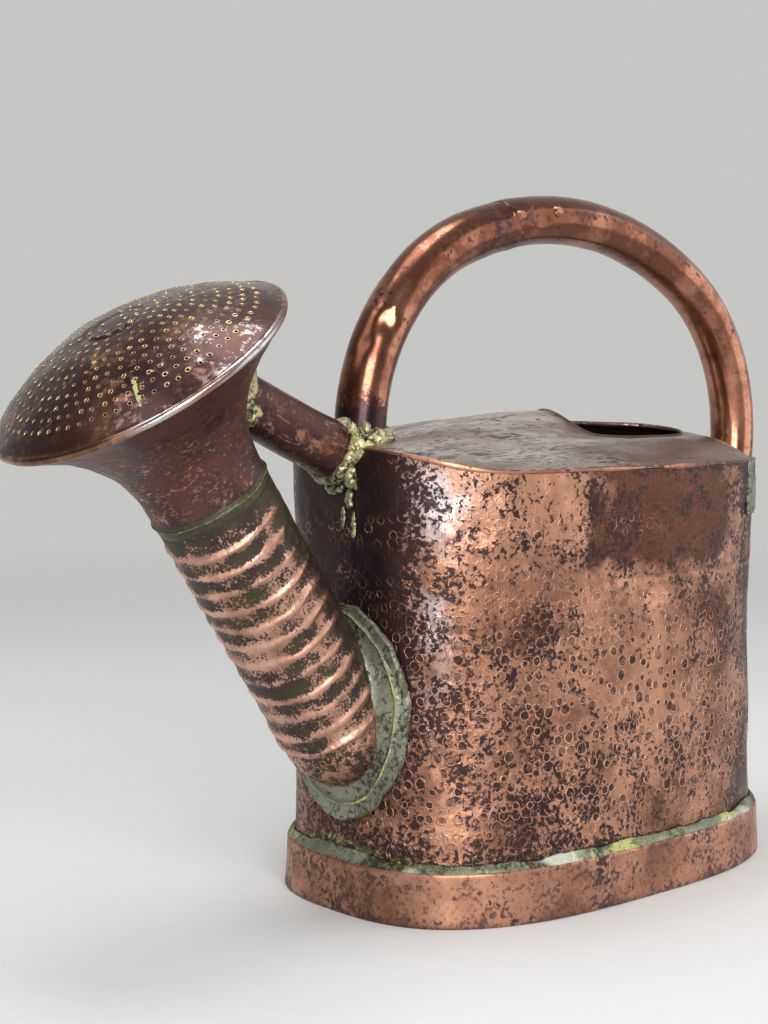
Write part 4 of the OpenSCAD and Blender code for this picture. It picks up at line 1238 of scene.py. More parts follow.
def build_spout(sizes):
    """The spout: a ball-ended heel and a tube with raised rings. Each ring is a rounded crest whose place and
    height wander round the tube."""
    start, axis, upper, side = spout_frame(sizes)
    r0, length = sizes.spout_radius, sizes.spout_length
    columns = 216
    heel = np.linspace(0.06, np.pi / 2, 34)
    s = np.concatenate([-r0 * np.cos(heel), np.linspace(0, length, 300)[1:]])
    r = np.concatenate([r0 * np.sin(heel), np.full(299, r0)])
    a = full_turn(columns)
    around = spokes(upper, side, a)
    centres = start + s[:, None] * axis
    rings = centres[:, None] + around[None] * r[:, None, None]
    ball = np.cos(heel)[:, None, None] * -axis + np.sin(heel)[:, None, None] * around[None]
    out = np.concatenate([ball, np.broadcast_to(around, (299, columns, 3))])
    first, run = 0.004, length - 0.013
    pitch = run / sizes.ridges
    wave = (
        0.0022 * cloud(rings, 0.03, 131) + 0.001 * cloud(rings, 0.012, 132) + 0.0016 * np.cos(a - 2.2)[None]
    )
    place = (s[:, None] + wave - first) / pitch
    number = np.floor(place)
    within = place - number - 0.5
    whole = number.astype(np.int64)
    strength = 0.55 + 0.55 * lattice(whole, 0 * whole, 0 * whole, 7)
    strength = strength * (0.75 + 0.35 * clouds(rings, 0.022, 134))
    facing = 0.5 - 0.5 * np.cos(a)[None]
    inside = ramp(s, first - 0.002, first + 0.004)[:, None] * ramp(first + run + 0.002 - s, 0, 0.004)[:, None]
    crest = bump(within, 0, 0.185 + 0.06 * clouds(rings, 0.015, 133)) * strength * inside
    crest *= 0.35 + 0.65 * ramp(facing, 0.12, 0.5)
    push = sizes.ridge_height * 1.25 * crest
    ticks = np.sin(2 * np.pi * (a[None] * r0 / 0.0034 + 1.5 * cloud(rings, 0.02, 135)))
    push += 0.00014 * ticks * np.clip(crest, 0, 1) + 0.0004 * clouds(rings, 0.02, 136)
    low = ramp(0.012 - s, -0.02, 0.03)[:, None]
    cells, _ = nearest_mark(a[None] * r0 + 0 * s[:, None], s[:, None] + 0 * a[None], 0.0066, 17, 0)
    push += low * (0.0005 * bump(cells, 0.0034, 0.0012) - 0.0003) + 0.0016 * low * bump(a, 2.6, 0.8)[None]
    away = (1 - ramp(facing, 0.12, 0.5)) * inside
    push += -0.0004 * away * bump(cells, 0, 0.0026)
    rings = rings + out * push[..., None]
    tops = np.clip(crest * 1.2, 0, 1)
    edge = 0.12 * clouds(rings, 0.008, 137, 3)
    between = 0.3 * clouds(rings, 0.014, 139) - 0.3 * region(rings, (-215, -28, 165), (40, 14, 22))
    rungs = ramp(ticks, 0.55, 0.9) * ramp(clouds(rings, 0.012, 129), -0.2, 0.3)
    grime = 0.68 - 0.95 * tops + edge + 0.35 * away + between * (1 - away) + 0.4 * rungs * tops
    grime += -0.42 * low * ramp(bump(cells, 0.0034, 0.0014), 0.3, 0.8)
    grime += 0.35 * ramp(s, length - 0.012, length - 0.006)[:, None]
    green = 0.17 * (1 - tops) + 0.1 * clouds(rings, 0.02, 138)
    green += spots(rings, *((0.5, place, (2.2, 4, 2.2)) for place in ((-218, -27, 180), (-165, -31, 115.5))))
    green += 0.2 * ramp(s, length - 0.016, length - 0.004)[:, None] + 0.14 * low
    wear_and_highlight = 0.25 * tops
    marks = dict(
        grime=grime, green=green, wear_and_highlight=wear_and_highlight, film=0.35 * away - 0.4 * tops + 0.2,
        peened=0.8 * low + 0.5 * away
    )
    tip = start - axis * r0
    return shell("spout_skin", rings, poles=(tip, centres[-1]), marks=marks, around=a * r0, along=s - s[0])


def nose_line(sizes, y):
    """How far forward the nose's surface lies at a distance from its middle."""
    half = sizes.body_width / 2
    return -(sizes.body_length / 2) * (1 - (np.abs(y) / half) ** sizes.squareness) ** (1 / sizes.squareness)


def build_flange(body, sizes):
    """The plate soldered round the spout's foot: a band between the spout and an oval, with a raised line of
    solder along its middle.
    Its section, from inside to outside and back, is carried round the oval and laid on the nose's curve."""
    columns = 320
    a = full_turn(columns)
    w = np.concatenate([np.linspace(0, 1, 40), [1.0, 0.6, 0.0]])
    cz = sizes.spout_height + sizes.flange_up
    inner_y = sizes.spout_radius * 0.96
    low = sizes.spout_height - sizes.spout_radius
    high = sizes.spout_height + sizes.spout_radius / math.cos(sizes.spout_rise)
    inner_mid, inner_half = (low + high) / 2, (high - low) / 2 * 0.97
    ragged = 0.0009 * np.sin(3 * a + 1) + 0.0004 * np.sin(11 * a) + 0.0003 * np.sin(23 * a + 2)
    oy = (sizes.flange_width / 2 + ragged) * np.cos(a)
    oz = cz + (sizes.flange_height / 2 + ragged) * np.sin(a)
    iy, iz = inner_y * np.cos(a), inner_mid + inner_half * np.sin(a)
    y = iy[None] + (oy - iy)[None] * w[:, None]
    z = iz[None] + (oz - iz)[None] * w[:, None]
    flat = np.stack([0 * y, y, z], -1)
    ridge_at = 0.62 + 0.05 * np.sin(a * 2 + 1) + 0.03 * np.sin(5 * a)
    ridge = np.exp(-(((w[:, None] - ridge_at[None]) / 0.055) ** 2))
    height = (
        0.0016 * ramp(1 - w, 0.0, 0.05)[:, None] + 0.0014 * ridge * (0.8 + 0.35 * cloud(flat, 0.012, 141))
    )
    height = height + 0.0032 * np.exp(-w / 0.13)[:, None] + 0.00035 * clouds(flat, 0.02, 143, 3)
    height = height + 0.0004 * bump(a, 4.45, 0.03)[None]
    height[40:] = -0.0007
    x = nose_line(body, y) - height
    p = np.stack([x, y, z], -1)
    cell, _ = nearest_mark(y, z, 0.0058, 23)
    p[:40, :, 0] += 0.00022 * bump(cell[:40], 0, 0.0022) * ramp(w[:40], 0.2, 0.35)[:, None]
    line = np.clip(ridge, 0, 1)
    green = 0.02 + 0.36 * line + 0.14 * clouds(flat, 0.02, 145)
    green += (0.28 * bump(w, 1.0, 0.1) + 0.25 * bump(w, 0.0, 0.1))[:, None]
    marks = dict(
        green=green,
        pale=0.62 * line - 0.16 + 0.05 * clouds(flat, 0.02, 146),
        grime=0.12 * clouds(flat, 0.03, 147) - 0.2 * line, white=0 * y, film=0 * y,
    )
    return shell("spout_flange_skin", p, True, marks=marks)


def build_neck(spout, sizes):
    """The rose's neck: a trumpet whose radius grows from the spout's to the rim's by the flare power of the
    distance, with a wall of its own."""
    start, axis, upper, side = spout_frame(spout)
    r0, length = spout.spout_radius, spout.spout_length
    joint, top = length + 0.006, length + sizes.neck_length - sizes.roll_radius * 0.97
    s = np.concatenate([np.linspace(length, joint, 5)[:-1], np.linspace(joint, top, 84)])
    lead = np.clip((s - joint) / (top - joint), 0, 1)
    r = r0 + (sizes.rose_radius - sizes.roll_radius - r0) * lead**sizes.flare
    slope = np.gradient(r, s)
    columns = 200
    a = full_turn(columns)
    around = spokes(upper, side, a)
    centres = start + s[:, None] * axis
    outside = centres[:, None] + around[None] * r[:, None, None]
    tilt = np.sqrt(1 + slope**2)
    out = (around[None] - slope[:, None, None] * axis) / tilt[:, None, None]
    edge = ramp(s, length, length + 0.01) * ramp(top - s, 0, 0.006)
    push = edge[:, None] * (0.0006 * clouds(outside, 0.03, 151) + 0.0003 * clouds(outside, 0.012, 153))
    outside = outside + out * push[..., None]
    k = np.arange(len(s))[::-4]
    inside = centres[k][:, None] + around[None] * (r[k] - SHEET * tilt[k])[:, None, None]
    rings = np.concatenate([outside, inside])
    scraped = 0.9 * ramp(clouds(outside, 0.02, 155), -0.5, 0.1)
    scraped *= (ramp(s, length + 0.004, length + 0.012) * ramp(top - s, 0.006, 0.03))[:, None]
    grime = 0.1 * clouds(outside, 0.03, 157) + 0.12 * ramp(length + 0.03 - s, 0, 0.03)[:, None]
    green = 0.24 * ramp(length + 0.022 - s, 0, 0.018)[:, None] + 0.08 * clouds(outside, 0.03, 158)
    marks = dict(scraped=scraped, grime=grime, green=green, film=0.2 + 0 * grime)
    marks = {
        key: np.concatenate([v, np.full((len(k), columns), 0.5 if key == "grime" else 0.0)]) for key,
        v in marks.items()
    }
    along = np.concatenate([s, s[-1] + 0.002 * (1 + np.arange(len(k)))]) - s[0]
    return shell("rose_neck_skin", rings, True, marks=marks, around=a * 0.05, along=along)


def build_neck_bead(spout):
    """The ring of solder between spout and neck: a lumpy half-round bead with a thin raised line beside
    it."""
    start, axis, upper, side = spout_frame(spout)
    columns = 220
    a = full_turn(columns)
    around = spokes(upper, side, a)
    t = np.linspace(0, np.pi, 23)
    circle = around * spout.spout_radius
    wander = 0.0008 * cloud(circle, 0.02, 161) + 0.0004 * cloud(circle, 0.008, 162)
    s = spout.spout_length + 0.0038 * -np.cos(t)[:, None] + wander[None]
    thick = (0.0006 + 0.0002 * cloud(circle, 0.009, 163)) * np.sin(t)[:, None]
    thick += 0.0008 * bump(t, 1.9, 0.14)[:, None] * (0.8 + 0.4 * cloud(circle, 0.006, 164))
    r = spout.spout_radius + thick
    s = np.concatenate([s, s[-1:] * 0 + spout.spout_length + 0.002, s[-1:] * 0 + spout.spout_length - 0.002])
    r = np.concatenate([r, r[:2] * 0 + spout.spout_radius - 0.0008])
    p = start + s[..., None] * axis + around[None] * r[..., None]
    line = np.concatenate([bump(t, 1.9, 0.12), [0, 0]])[:, None] + 0 * a[None]
    marks = dict(
        green=0.5 * line, pale=0.5 * line - 0.2, grime=0.1 - 0.4 * line, white=0 * line, film=0 * line
    )
    return shell("neck_bead", p, True, marks=marks)


# ---- rose


def dome_place(spout, sizes, r, a, drop=0.0):
    """A point of the dome at a distance from the axis and an angle round it: on a ball through rim and crown,
    moved in by drop along its radius."""
    start, axis, upper, side = spout_frame(spout)
    cap, rise = sizes.rose_radius - sizes.roll_radius, sizes.dome_height - sizes.roll_radius
    ball = (cap**2 + rise**2) / (2 * rise)
    middle = spout.spout_length + sizes.neck_length + sizes.dome_height - ball
    lean = np.arcsin(np.clip(r / ball, -1, 1))
    radial = upper * np.cos(a)[..., None] + side * np.sin(a)[..., None]
    out = axis * np.cos(lean)[..., None] + radial * np.sin(lean)[..., None]
    base = start + axis * middle + out * ball
    waves = 0.0009 * clouds(base, 0.045, 171) + 0.00045 * clouds(base, 0.016, 174)
    waves = (
        waves * ramp(cap - r, 0.0, 0.01) + 0.00045 * bump(r, 0.0125, 0.0012)
        - 0.0005 * bump(r, 0.0145, 0.0015)
    )
    return base + out * (waves - drop)[..., None]


def zipped(first, second):
    """Triangles between two closed rings of different counts. Both are walked by angle, and each step joins
    its edge to the last point passed on the other ring."""
    na, nb = len(first), len(second)
    i, j = np.arange(na), np.arange(nb)
    other = np.ceil((i + 1) * nb / na - 1e-9).astype(int) - 1
    mine = np.floor((j + 1) * na / nb + 1e-9).astype(int)
    one = np.stack([first[i], first[(i + 1) % na], second[other % nb]], -1)
    two = np.stack([second[(j + 1) % nb], second[j], first[mine % na]], -1)
    return np.concatenate([one, two])


# how bare the metal is on the rings of a hole's burr
BURR_SHINE = {3: 0.45, 4: 1.0, 5: 1.0, 6: 0.1}


def build_rose(spout, sizes):
    """The pierced dome. Each hole has a square-edged cell whose rings shrink to a burred round edge, run
    through the sheet and open out again inside.
    Strips of triangles join one ring of cells to the next, and the last ring runs into the rolled rim and the
    inner side."""
    per_side = 4
    around_cell = 4 * per_side
    half = sizes.ring_pitch * 0.4
    sheet = SHEET
    hole = sizes.hole_radius
    cap = sizes.rose_radius - sizes.roll_radius
    points, burnished, crusted, quads, tris = [], [], [], [], []
    total = 0
    t = np.linspace(-1, 1, per_side + 1)[:-1]
    one = np.ones(per_side)
    square = np.concatenate([np.stack(side, -1) for side in ((t, -one), (one, t), (-t, one), (-one, -t))])
    bearing = np.arctan2(square[:, 1], square[:, 0])
    # each ring of a cell: how round it is, its size over the hole's, and its lift out of the sheet
    steps = [
        (0.0, 0, 0.0), (0.55, 0, 0.0), (1.0, 1.7, 0.00001), (1.0, 1.4, 0.0001), (1.0, 1.2, 0.0002),
        (1.0, 1.0, 0.00014), (1.0, 1.0, -0.0005), (1.0, 1.0, -sheet), (1.0, 1.5, -sheet), (0.0, 0, -sheet)
    ]
    sides = {}
    for number in range(sizes.hole_rings):
        middle = sizes.first_ring + sizes.ring_pitch * number
        count = int(round(2 * math.pi * middle / sizes.hole_gap))
        cell = np.arange(count)[:, None]
        turn_ = 2 * math.pi / count
        own = lattice(cell + 0 * square[None, :, 0].astype(int), number + 0 * cell, 0 * cell, 3)[:, :1]
        drift = (lattice(cell, number + 0 * cell, 1 + 0 * cell, 5) - 0.5) * 0.0012
        drift_r = (lattice(cell, number + 0 * cell, 2 + 0 * cell, 5) - 0.5) * 0.001
        start = total
        for level, (round_, scale, lift) in enumerate(steps):
            edge_a = square[None, :, 0] * turn_ / 2 + cell * turn_
            edge_r = middle + square[None, :, 1] * half + 0 * edge_a
            reach = hole * (scale or 1.7) * (0.92 + 0.2 * own)
            ring_a = cell * turn_ + (reach * np.cos(bearing)[None] + drift) / middle
            ring_r = middle + drift_r + reach * np.sin(bearing)[None]
            a = edge_a + (ring_a - edge_a) * round_
            r = edge_r + (ring_r - edge_r) * round_
            burr = (
                lift if lift <= 0 else lift * (0.35 + 1.1 * own) * (0.75 + 0.45 * np.cos(bearing - 2.3)[None])
            )
            flat = dome_place(spout, sizes, r, a, -burr + 0 * r)
            points.append(flat.reshape(-1, 3))
            bright = BURR_SHINE.get(level, 0.0)
            burnished.append(bright * np.repeat(0.45 + 0.7 * own[:, 0], around_cell).clip(0, 1))
            crust = 0.5 if level >= 6 else 0.12 if level in (4, 5) else 0.0
            crusted.append(np.full(count * around_cell, crust))
            total += count * around_cell
        ids = start + np.arange(len(steps) * count * around_cell).reshape(len(steps), count, around_cell)
        nxt = np.roll(ids, -1, 2)
        quads.append(np.stack([ids[:-1], nxt[:-1], nxt[1:], ids[1:]], -1).reshape(-1, 4))
        sides[number] = (ids[0], ids[-1])
    points = np.concatenate(points)
    quads = np.concatenate(quads)
    k = per_side
    low_edge, high_edge = list(range(0, k + 1)), list(range(3 * k, 2 * k - 1, -1))

    def run(cells, corners):
        """The ring of corner numbers along one edge of a row of cells, each shared corner once."""
        return cells[:, corners[:-1]].reshape(-1)

    for number in range(sizes.hole_rings - 1):
        for layer, flip in ((0, 1), (1, -1)):
            top, above = run(sides[number][layer], high_edge), run(sides[number + 1][layer], low_edge)
            tris.append(zipped(top, above)[:, ::flip])
    outer_top, outer_low = (run(cells, high_edge) for cells in sides[sizes.hole_rings - 1])
    inner_top, inner_low = (run(cells, low_edge) for cells in sides[0])
    columns = len(outer_top)
    last = sizes.first_ring + sizes.ring_pitch * (sizes.hole_rings - 1)
    count = columns // per_side
    turns = (np.repeat(np.arange(count), k) + np.tile(t, count) / 2) * 2 * math.pi / count
    start, axis, upper, side = spout_frame(spout)
    rim_s = spout.spout_length + sizes.neck_length
    radial = spokes(upper, side, turns)
    rings = [
        dome_place(spout, sizes, r + 0 * turns, turns) for r in np.linspace(last + half, cap - 0.0002, 9)[1:]
    ]
    wander = 0.0005 * cloud(radial * 0.078, 0.03, 181) + 0.0002 * cloud(radial * 0.078, 0.009, 182)
    for angle in np.radians(np.arange(74, -181, -17)):
        centre = start + axis * (rim_s + wander * 0.6)[:, None] + radial * (cap + wander)[:, None]
        rings.append(centre + (radial * math.cos(angle) + axis * math.sin(angle)) * sizes.roll_radius * 1.05)
    rings += [
        dome_place(spout, sizes, r + 0 * turns, turns, sheet + 0 * turns) for r in (cap - 0.0026, cap - 0.005)
    ]
    rows = [outer_top]
    for ring in rings:
        rows.append(total + np.arange(columns))
        points = np.concatenate([points, ring])
        total += columns
    rows.append(outer_low)
    extra = [np.stack([a_, np.roll(a_, -1), np.roll(b_, -1), b_], -1) for a_, b_ in zip(rows[:-1], rows[1:])]
    quads = np.concatenate([quads[:, ::-1]] + [e[:, ::-1] for e in extra])
    brass = np.concatenate(burnished + [np.zeros(columns * len(rings))])
    green = np.concatenate(crusted + [np.zeros(columns * len(rings))])
    for ring, drop, flip in ((inner_top, 0.0, 1), (inner_low, sheet, -1)):
        n = len(ring)
        a = (np.repeat(np.arange(n // k), k) + np.tile(t, n // k) / 2) * 2 * math.pi / (n // k)
        before = ring
        for r in (sizes.first_ring - half) * np.array([0.72, 0.42, 0.18]):
            points = np.concatenate([points, dome_place(spout, sizes, r + 0 * a, a, drop + 0 * a)])
            now = total + np.arange(n)
            total += n
            quads = np.concatenate(
                [quads, np.stack([now, np.roll(now, -1), np.roll(before, -1), before], -1)[:, ::flip]]
            )
            before = now
        points = np.concatenate(
            [points, dome_place(spout, sizes, np.zeros(1), np.zeros(1), drop + np.zeros(1))]
        )
        tris.append(np.stack([before, np.roll(before, -1), 0 * before + total], -1)[:, :: -flip])
        total += 1
    pad = total - len(brass)
    brass, green = np.append(brass, np.zeros(pad)), np.append(green, np.zeros(pad))
    tris = np.concatenate(tris)
    rel = points - (start + axis * rim_s)
    height = rel @ axis
    radius = np.linalg.norm(rel - height[:, None] * axis, axis=1)
    rim = ramp(radius, cap + 0.0002, cap + 0.0012) * ramp(0.0035 - height, 0, 0.002)
    green = (
        green + 0.62 * near_line(points, (-301.8, -42.7, 284.4), (-306.4, -56.7, 269.9), 2.0)
        + 0.36 * region(points, (-309, -58, 266), (3, 5, 5))
    )
    green += 0.34 * region(points, (-330, -18, 253), (8, 16, 6)) * ramp(clouds(points, 0.006, 185), -0.1, 0.5)
    film = 0.2 * clouds(points, 0.03, 187)
    grime = 0.12 * clouds(points, 0.028, 188) + 0.1 * ramp(0.035 - radius, 0, 0.02)
    # Painted highlight: grey sheen laid in two broken patches on the dome's lower near side, where the lamps'
    # reflections fall.
    lit = spots(points, (1.4, (-262, -64, 294), (24, 18, 20)), (0.8, (-300, -68, 263), (22, 12, 8)))
    painted_sheen = 1.3 * lit * ramp(clouds(points, 0.018, 189, 3), -0.6, -0.1)
    marks = dict(
        brass=brass, green=green, film=film, grime=grime - 0.3 * rim, painted_sheen=np.clip(painted_sheen, 0, 1),
        wear_and_highlight=0.35 * rim
    )
    piece = make_piece("rose_dome", points, [quads, tris], marks)
    close_seams(piece)
    return piece


def close_seams(piece):
    """Merges the points that neighbouring cells share and turns every face outwards."""
    work = bmesh.new()
    work.from_mesh(piece.data)
    bmesh.ops.remove_doubles(work, verts=work.verts, dist=0.00002)
    bmesh.ops.recalc_face_normals(work, faces=work.faces)
    work.to_mesh(piece.data)
    work.free()


# ---- brace and solder masses


def build_brace(body, sizes):
    """The brace tube: a dented round tube with a lapped seam raised along its upper near side."""
    start, axis, upper, side = brace_frame(body, sizes)
    s = np.linspace(-0.003, sizes.brace_length + 0.008, 66)
    centres = start + s[:, None] * axis
    up, near = np.broadcast_to(upper, centres.shape), np.broadcast_to(side, centres.shape)
    rings, out, a = tube_rings(centres, up, near, sizes.brace_radius, 96)
    seam_at = 0.62 + 0.1 * cloud(np.stack([s, 0 * s, 0 * s], -1), 0.02, 191)
    step = ramp(a[None] - seam_at[:, None], -0.02, 0.05) * ramp(seam_at[:, None] + 0.7 - a[None], 0, 0.6)
    push = 0.0005 * clouds(rings, 0.03, 192) + 0.0009 * step
    push += dented(
        rings, [((-185, -14, 252), 9, -0.9), ((-170, -12, 262), 6, -0.6), ((-200, -12, 256), 10, 0.6)]
    )
    rings = rings + out * push[..., None]
    edge = bump(a[None], seam_at[:, None] + 0.03, 0.05)
    grime = 0.1 * clouds(rings, 0.02, 193) - 0.4 * edge + 0.3 * bump(a[None], seam_at[:, None] - 0.12, 0.09)
    wear_and_highlight = 0.45 * bump(a[None], 1.9, 0.35) * ramp(clouds(rings, 0.01, 194), 0.0, 0.6) + 0.5 * edge
    green = 0.3 * ramp(a, 2.2, 2.9) * ramp(4.0 - a, 0, 0.6)
    green = green + (0.25 * ramp(0.014 - s, 0, 0.012) + 0.15 * ramp(s, 0.062, 0.072))[:, None]
    marks = dict(
        grime=grime, wear_and_highlight=wear_and_highlight, green=green, film=0.3 + 0 * grime,
        scraped=ramp(clouds(rings, 0.02, 195), 0.0, 0.5)
    )
    return tube("brace", rings, marks, a * sizes.brace_radius, s - s[0])


def solder_marks(points, seed):
    """Values that vary over a mass of solder: how pale, green, white, dark or rusty each point is."""
    return dict(
        pale=0.22 * clouds(points, 0.012, seed), green=0.12 * clouds(points, 0.016, seed + 2),
        white=0.35 * ramp(clouds(points, 0.007, seed + 4), 0.45, 0.9),
        grime=0.2 * clouds(points, 0.012, seed + 6), film=0.0 * points[..., 0],
    )


def build_lump(name, centre, reach, seed, ragged=0.35):
    """A lump of solder: an egg of three radii, pushed in and out by clouds, with peaks where they are
    strongest."""
    rows, columns = 30, 44
    lean = np.linspace(0, np.pi, rows + 2)[1:-1]
    a = full_turn(columns)
    ball = np.stack(
        [np.sin(lean)[:, None] * np.cos(a), np.sin(lean)[:, None] * np.sin(a), np.cos(lean)[:, None] + 0 * a],
        -1
    )
    reach = np.array(reach) * MM
    middle = np.array(centre) * MM
    base = ball * reach + middle
    size = reach.mean()
    push = (
        ragged * clouds(base, size * 0.9, seed, 3)
        + 0.5 * ragged * np.clip(cloud(base, size * 0.45, seed + 5), 0.2, 1)
    )
    points = middle + ball * reach * (1 + push)[..., None]
    tips = [middle + np.array([0, 0, d]) * reach for d in (1, -1)]
    return shell(name, points, poles=tips, marks=solder_marks(points, seed + 11))


def build_collar(name, centre, axis, first, radius, section, seed, tall):
    """A ragged collar of solder: a circle carried round the joint, its thickness and place pushed about by
    clouds."""
    columns, rows = 150, 22
    second = np.cross(axis, first)
    a = full_turn(columns)
    b = full_turn(rows)
    radial = spokes(first, second, a)
    ring = centre + radial * radius
    thick = section * (1 + 0.4 * clouds(ring, 0.01, seed, 3))
    shift = section * 0.5 * cloud(ring, 0.012, seed + 4)
    outward, upward = thick * np.cos(b)[:, None], thick * tall * np.sin(b)[:, None] + shift
    p = ring + radial * outward[..., None] + axis * upward[..., None]
    out = radial[None] * np.cos(b)[:, None, None] + axis * np.sin(b)[:, None, None]
    p = p + out * (section * (0.28 * clouds(p, 0.006, seed + 7)))[..., None]
    return shell(name, p, True, marks=solder_marks(p, seed + 9))


FRONT_LUMPS = [
    ((-147, -6, 257), (6, 9, 7)), ((-147, -17, 246), (5, 5, 9)), ((-134, -18, 251), (9, 6, 5.5)),
    ((-142, -20, 246), (5, 4, 6)),
    ((-149, -13, 231), (5, 6, 9)), ((-148, 0, 225), (4.5, 9, 5)), ((-148, 14, 240), (5, 6, 11)),
    ((-134, 18, 251), (9, 6, 5)),
    ((-147, -10, 219), (2.4, 4, 7)), ((-146.6, -13, 206), (1.4, 2.4, 9)), ((-146.8, -5, 210), (1.3, 2.2, 8)),
    ((-128, -19, 251), (5, 4, 4)),
    ((-150, -16, 256), (3.5, 3, 5)), ((-140, -15, 256), (4, 4, 5)),
]


def build_front_solder(body, handle, spout):
    """The mass that holds the handle's foot and the brace's end: two collars and a heap of lumps and
    drips."""
    start, axis, upper, _ = brace_frame(body, spout)
    foot = np.array([-body.body_length / 2 + handle.foot_inset, 0, handle.foot_height + 0.0015])
    up, x = np.array([0, 0, 1.0]), np.array([1.0, 0, 0])
    parts = [
        build_collar("part", foot, up, x, handle.tube_radius + 0.001, 0.0026, 201, 1.2),
        build_collar(
            "part", start + axis * 0.002, axis, upper, spout.brace_radius + 0.0008, 0.0028, 221, 1.3
        ),
    ]
    parts += [
        build_lump("part", c, np.array(r) * 0.68, 240 + 3 * k, 0.42) for k, (c, r) in enumerate(FRONT_LUMPS)
    ]
    return joined("front_solder", parts)


def build_brace_solder(body, spout):
    """Solder between the brace and the rose's neck: a collar with lumps under it."""
    start, axis, upper, _ = brace_frame(body, spout)
    end = start + axis * (spout.brace_length - 0.002)
    parts = [
        build_collar("part", end, axis, upper, spout.brace_radius + 0.0005, 0.003, 301, 1.5),
        build_lump("part", end / MM + np.array([3, -12, -9]), (5, 5, 6), 320),
        build_lump("part", end / MM + np.array([4, 8, -12]), (6, 6, 5), 330),
    ]
    return joined("brace_neck_solder_mass", parts)


def build_rear_solder(body, handle):
    """Solder where the rear limb meets the heel: a collar on the wall with a few lumps."""
    end = np.array([body.body_length / 2 + 0.001, 0, bend_path(handle)[1][-1]])
    axis, up = np.array([1.0, 0, 0]), np.array([0, 0, 1.0])
    parts = [
        build_collar("part", end, axis, up, handle.tube_radius + 0.0025, 0.0036, 341, 0.9),
        build_lump("part", end / MM + np.array([1, -11, -13]), (4, 7, 6), 350),
        build_lump("part", end / MM + np.array([1, 12, 12]), (4, 6, 7), 360),
        build_lump("part", end / MM + np.array([0.5, 3, -24]), (2, 5, 9), 370),
    ]
    return joined("rear_solder", parts)


# ---- operators


class CAN_OT_wall(bpy.types.Operator):
    """Build the beaten wall with its top patch and rim fold"""

    bl_idname = "can.wall"
    bl_label = "Wall"

    def execute(self, context):
        sizes = context.scene.can_body
        finish_piece(build_wall(sizes), "wall", "wall_copper", "body_wall")
        finish_piece(build_rim_fold(sizes), "foot", "plate_copper")
        finish_piece(build_patch(sizes, 0.219), "patch", "grey_solder", "wall_patch")
        return {"FINISHED"}


class CAN_OT_foot(bpy.types.Operator):
    """Build the foot band and the solder above it"""

    bl_idname = "can.foot"
    bl_label = "Foot band"

    def execute(self, context):
        sizes = context.scene.can_body
        finish_piece(build_foot_band(sizes), "foot", "foot_copper", "foot_ring")
        finish_piece(build_foot_bead(sizes), "bead", "solder", "foot_solder")
        return {"FINISHED"}


class CAN_OT_top(bpy.types.Operator):
    """Build the domed top plate with its filling mouth"""

    bl_idname = "can.top"
    bl_label = "Top plate"

    def execute(self, context):
        sizes = context.scene.can_body
        finish_piece(build_top_plate(sizes), "plate", "plate_copper", "top_plate")
        return {"FINISHED"}


class CAN_OT_handle(bpy.types.Operator):
    """Build the two handle tubes"""

    bl_idname = "can.handle"
    bl_label = "Handle"

    def execute(self, context):
        sizes = context.scene.can_handle
        finish_piece(build_front_tube(sizes), "handle", "handle_copper", "handle_front_tube")
        finish_piece(build_rear_tube(sizes), "handle", "handle_copper", "handle_rear_tube")
        return {"FINISHED"}


class CAN_OT_spout(bpy.types.Operator):
    """Build the ridged spout, its flange and the bead at its neck"""

    bl_idname = "can.spout"
    bl_label = "Spout"

    def execute(self, context):
        body, sizes = context.scene.can_body, context.scene.can_spout
        finish_piece(build_spout(sizes), "spout", "spout_copper", "spout_tube")
        finish_piece(
            build_flange(body, sizes), "flange", "flange_copper", "spout_flange", "spout_flange_solder"
        )
        finish_piece(build_neck_bead(sizes), "ring", "solder", "neck_solder")
        return {"FINISHED"}


class CAN_OT_rose(bpy.types.Operator):
    """Build the rose: flared neck and pierced dome"""

    bl_idname = "can.rose"
    bl_label = "Rose"

    def execute(self, context):
        spout, sizes = context.scene.can_spout, context.scene.can_rose
        finish_piece(build_neck(spout, sizes), "neck", "neck_copper", "rose_neck")
        finish_piece(build_rose(spout, sizes), "rose", "rose_copper", "rose_face")
        return {"FINISHED"}


class CAN_OT_brace(bpy.types.Operator):
    """Build the brace tube between body and rose"""

    bl_idname = "can.brace"
    bl_label = "Brace"

    def execute(self, context):
        body, sizes = context.scene.can_body, context.scene.can_spout
        finish_piece(build_brace(body, sizes), "brace", "brace_copper", "brace_tube")
        return {"FINISHED"}


class CAN_OT_solder(bpy.types.Operator):
    """Build the solder masses at the handle's feet and the brace's ends"""

    bl_idname = "can.solder"
    bl_label = "Solder masses"

    def execute(self, context):
        scene = context.scene
        finish_piece(
            build_front_solder(scene.can_body, scene.can_handle, scene.can_spout), "solder", "solder",
            "handle_front_solder"
        )
        finish_piece(
            build_brace_solder(scene.can_body, scene.can_spout), "solder", "solder", "brace_neck_solder"
        )
        finish_piece(
            build_rear_solder(scene.can_body, scene.can_handle), "solder", "solder", "handle_rear_solder"
        )
        return {"FINISHED"}


class CAN_OT_plain_nodes(bpy.types.Operator):
    """Give the frame's own bottom plate and rivets their finishes"""

    bl_idname = "can.plain_nodes"
    bl_label = "Bottom plate and rivets"

    def execute(self, context):
        for node, finish in (("bottom_plate", "dark"), ("handle_rivets", "handle")):
            piece = frame["nodes"][node]
            piece.data.materials.clear()
            piece.data.materials.append(finishes()[finish])
        return {"FINISHED"}


# ---- stage


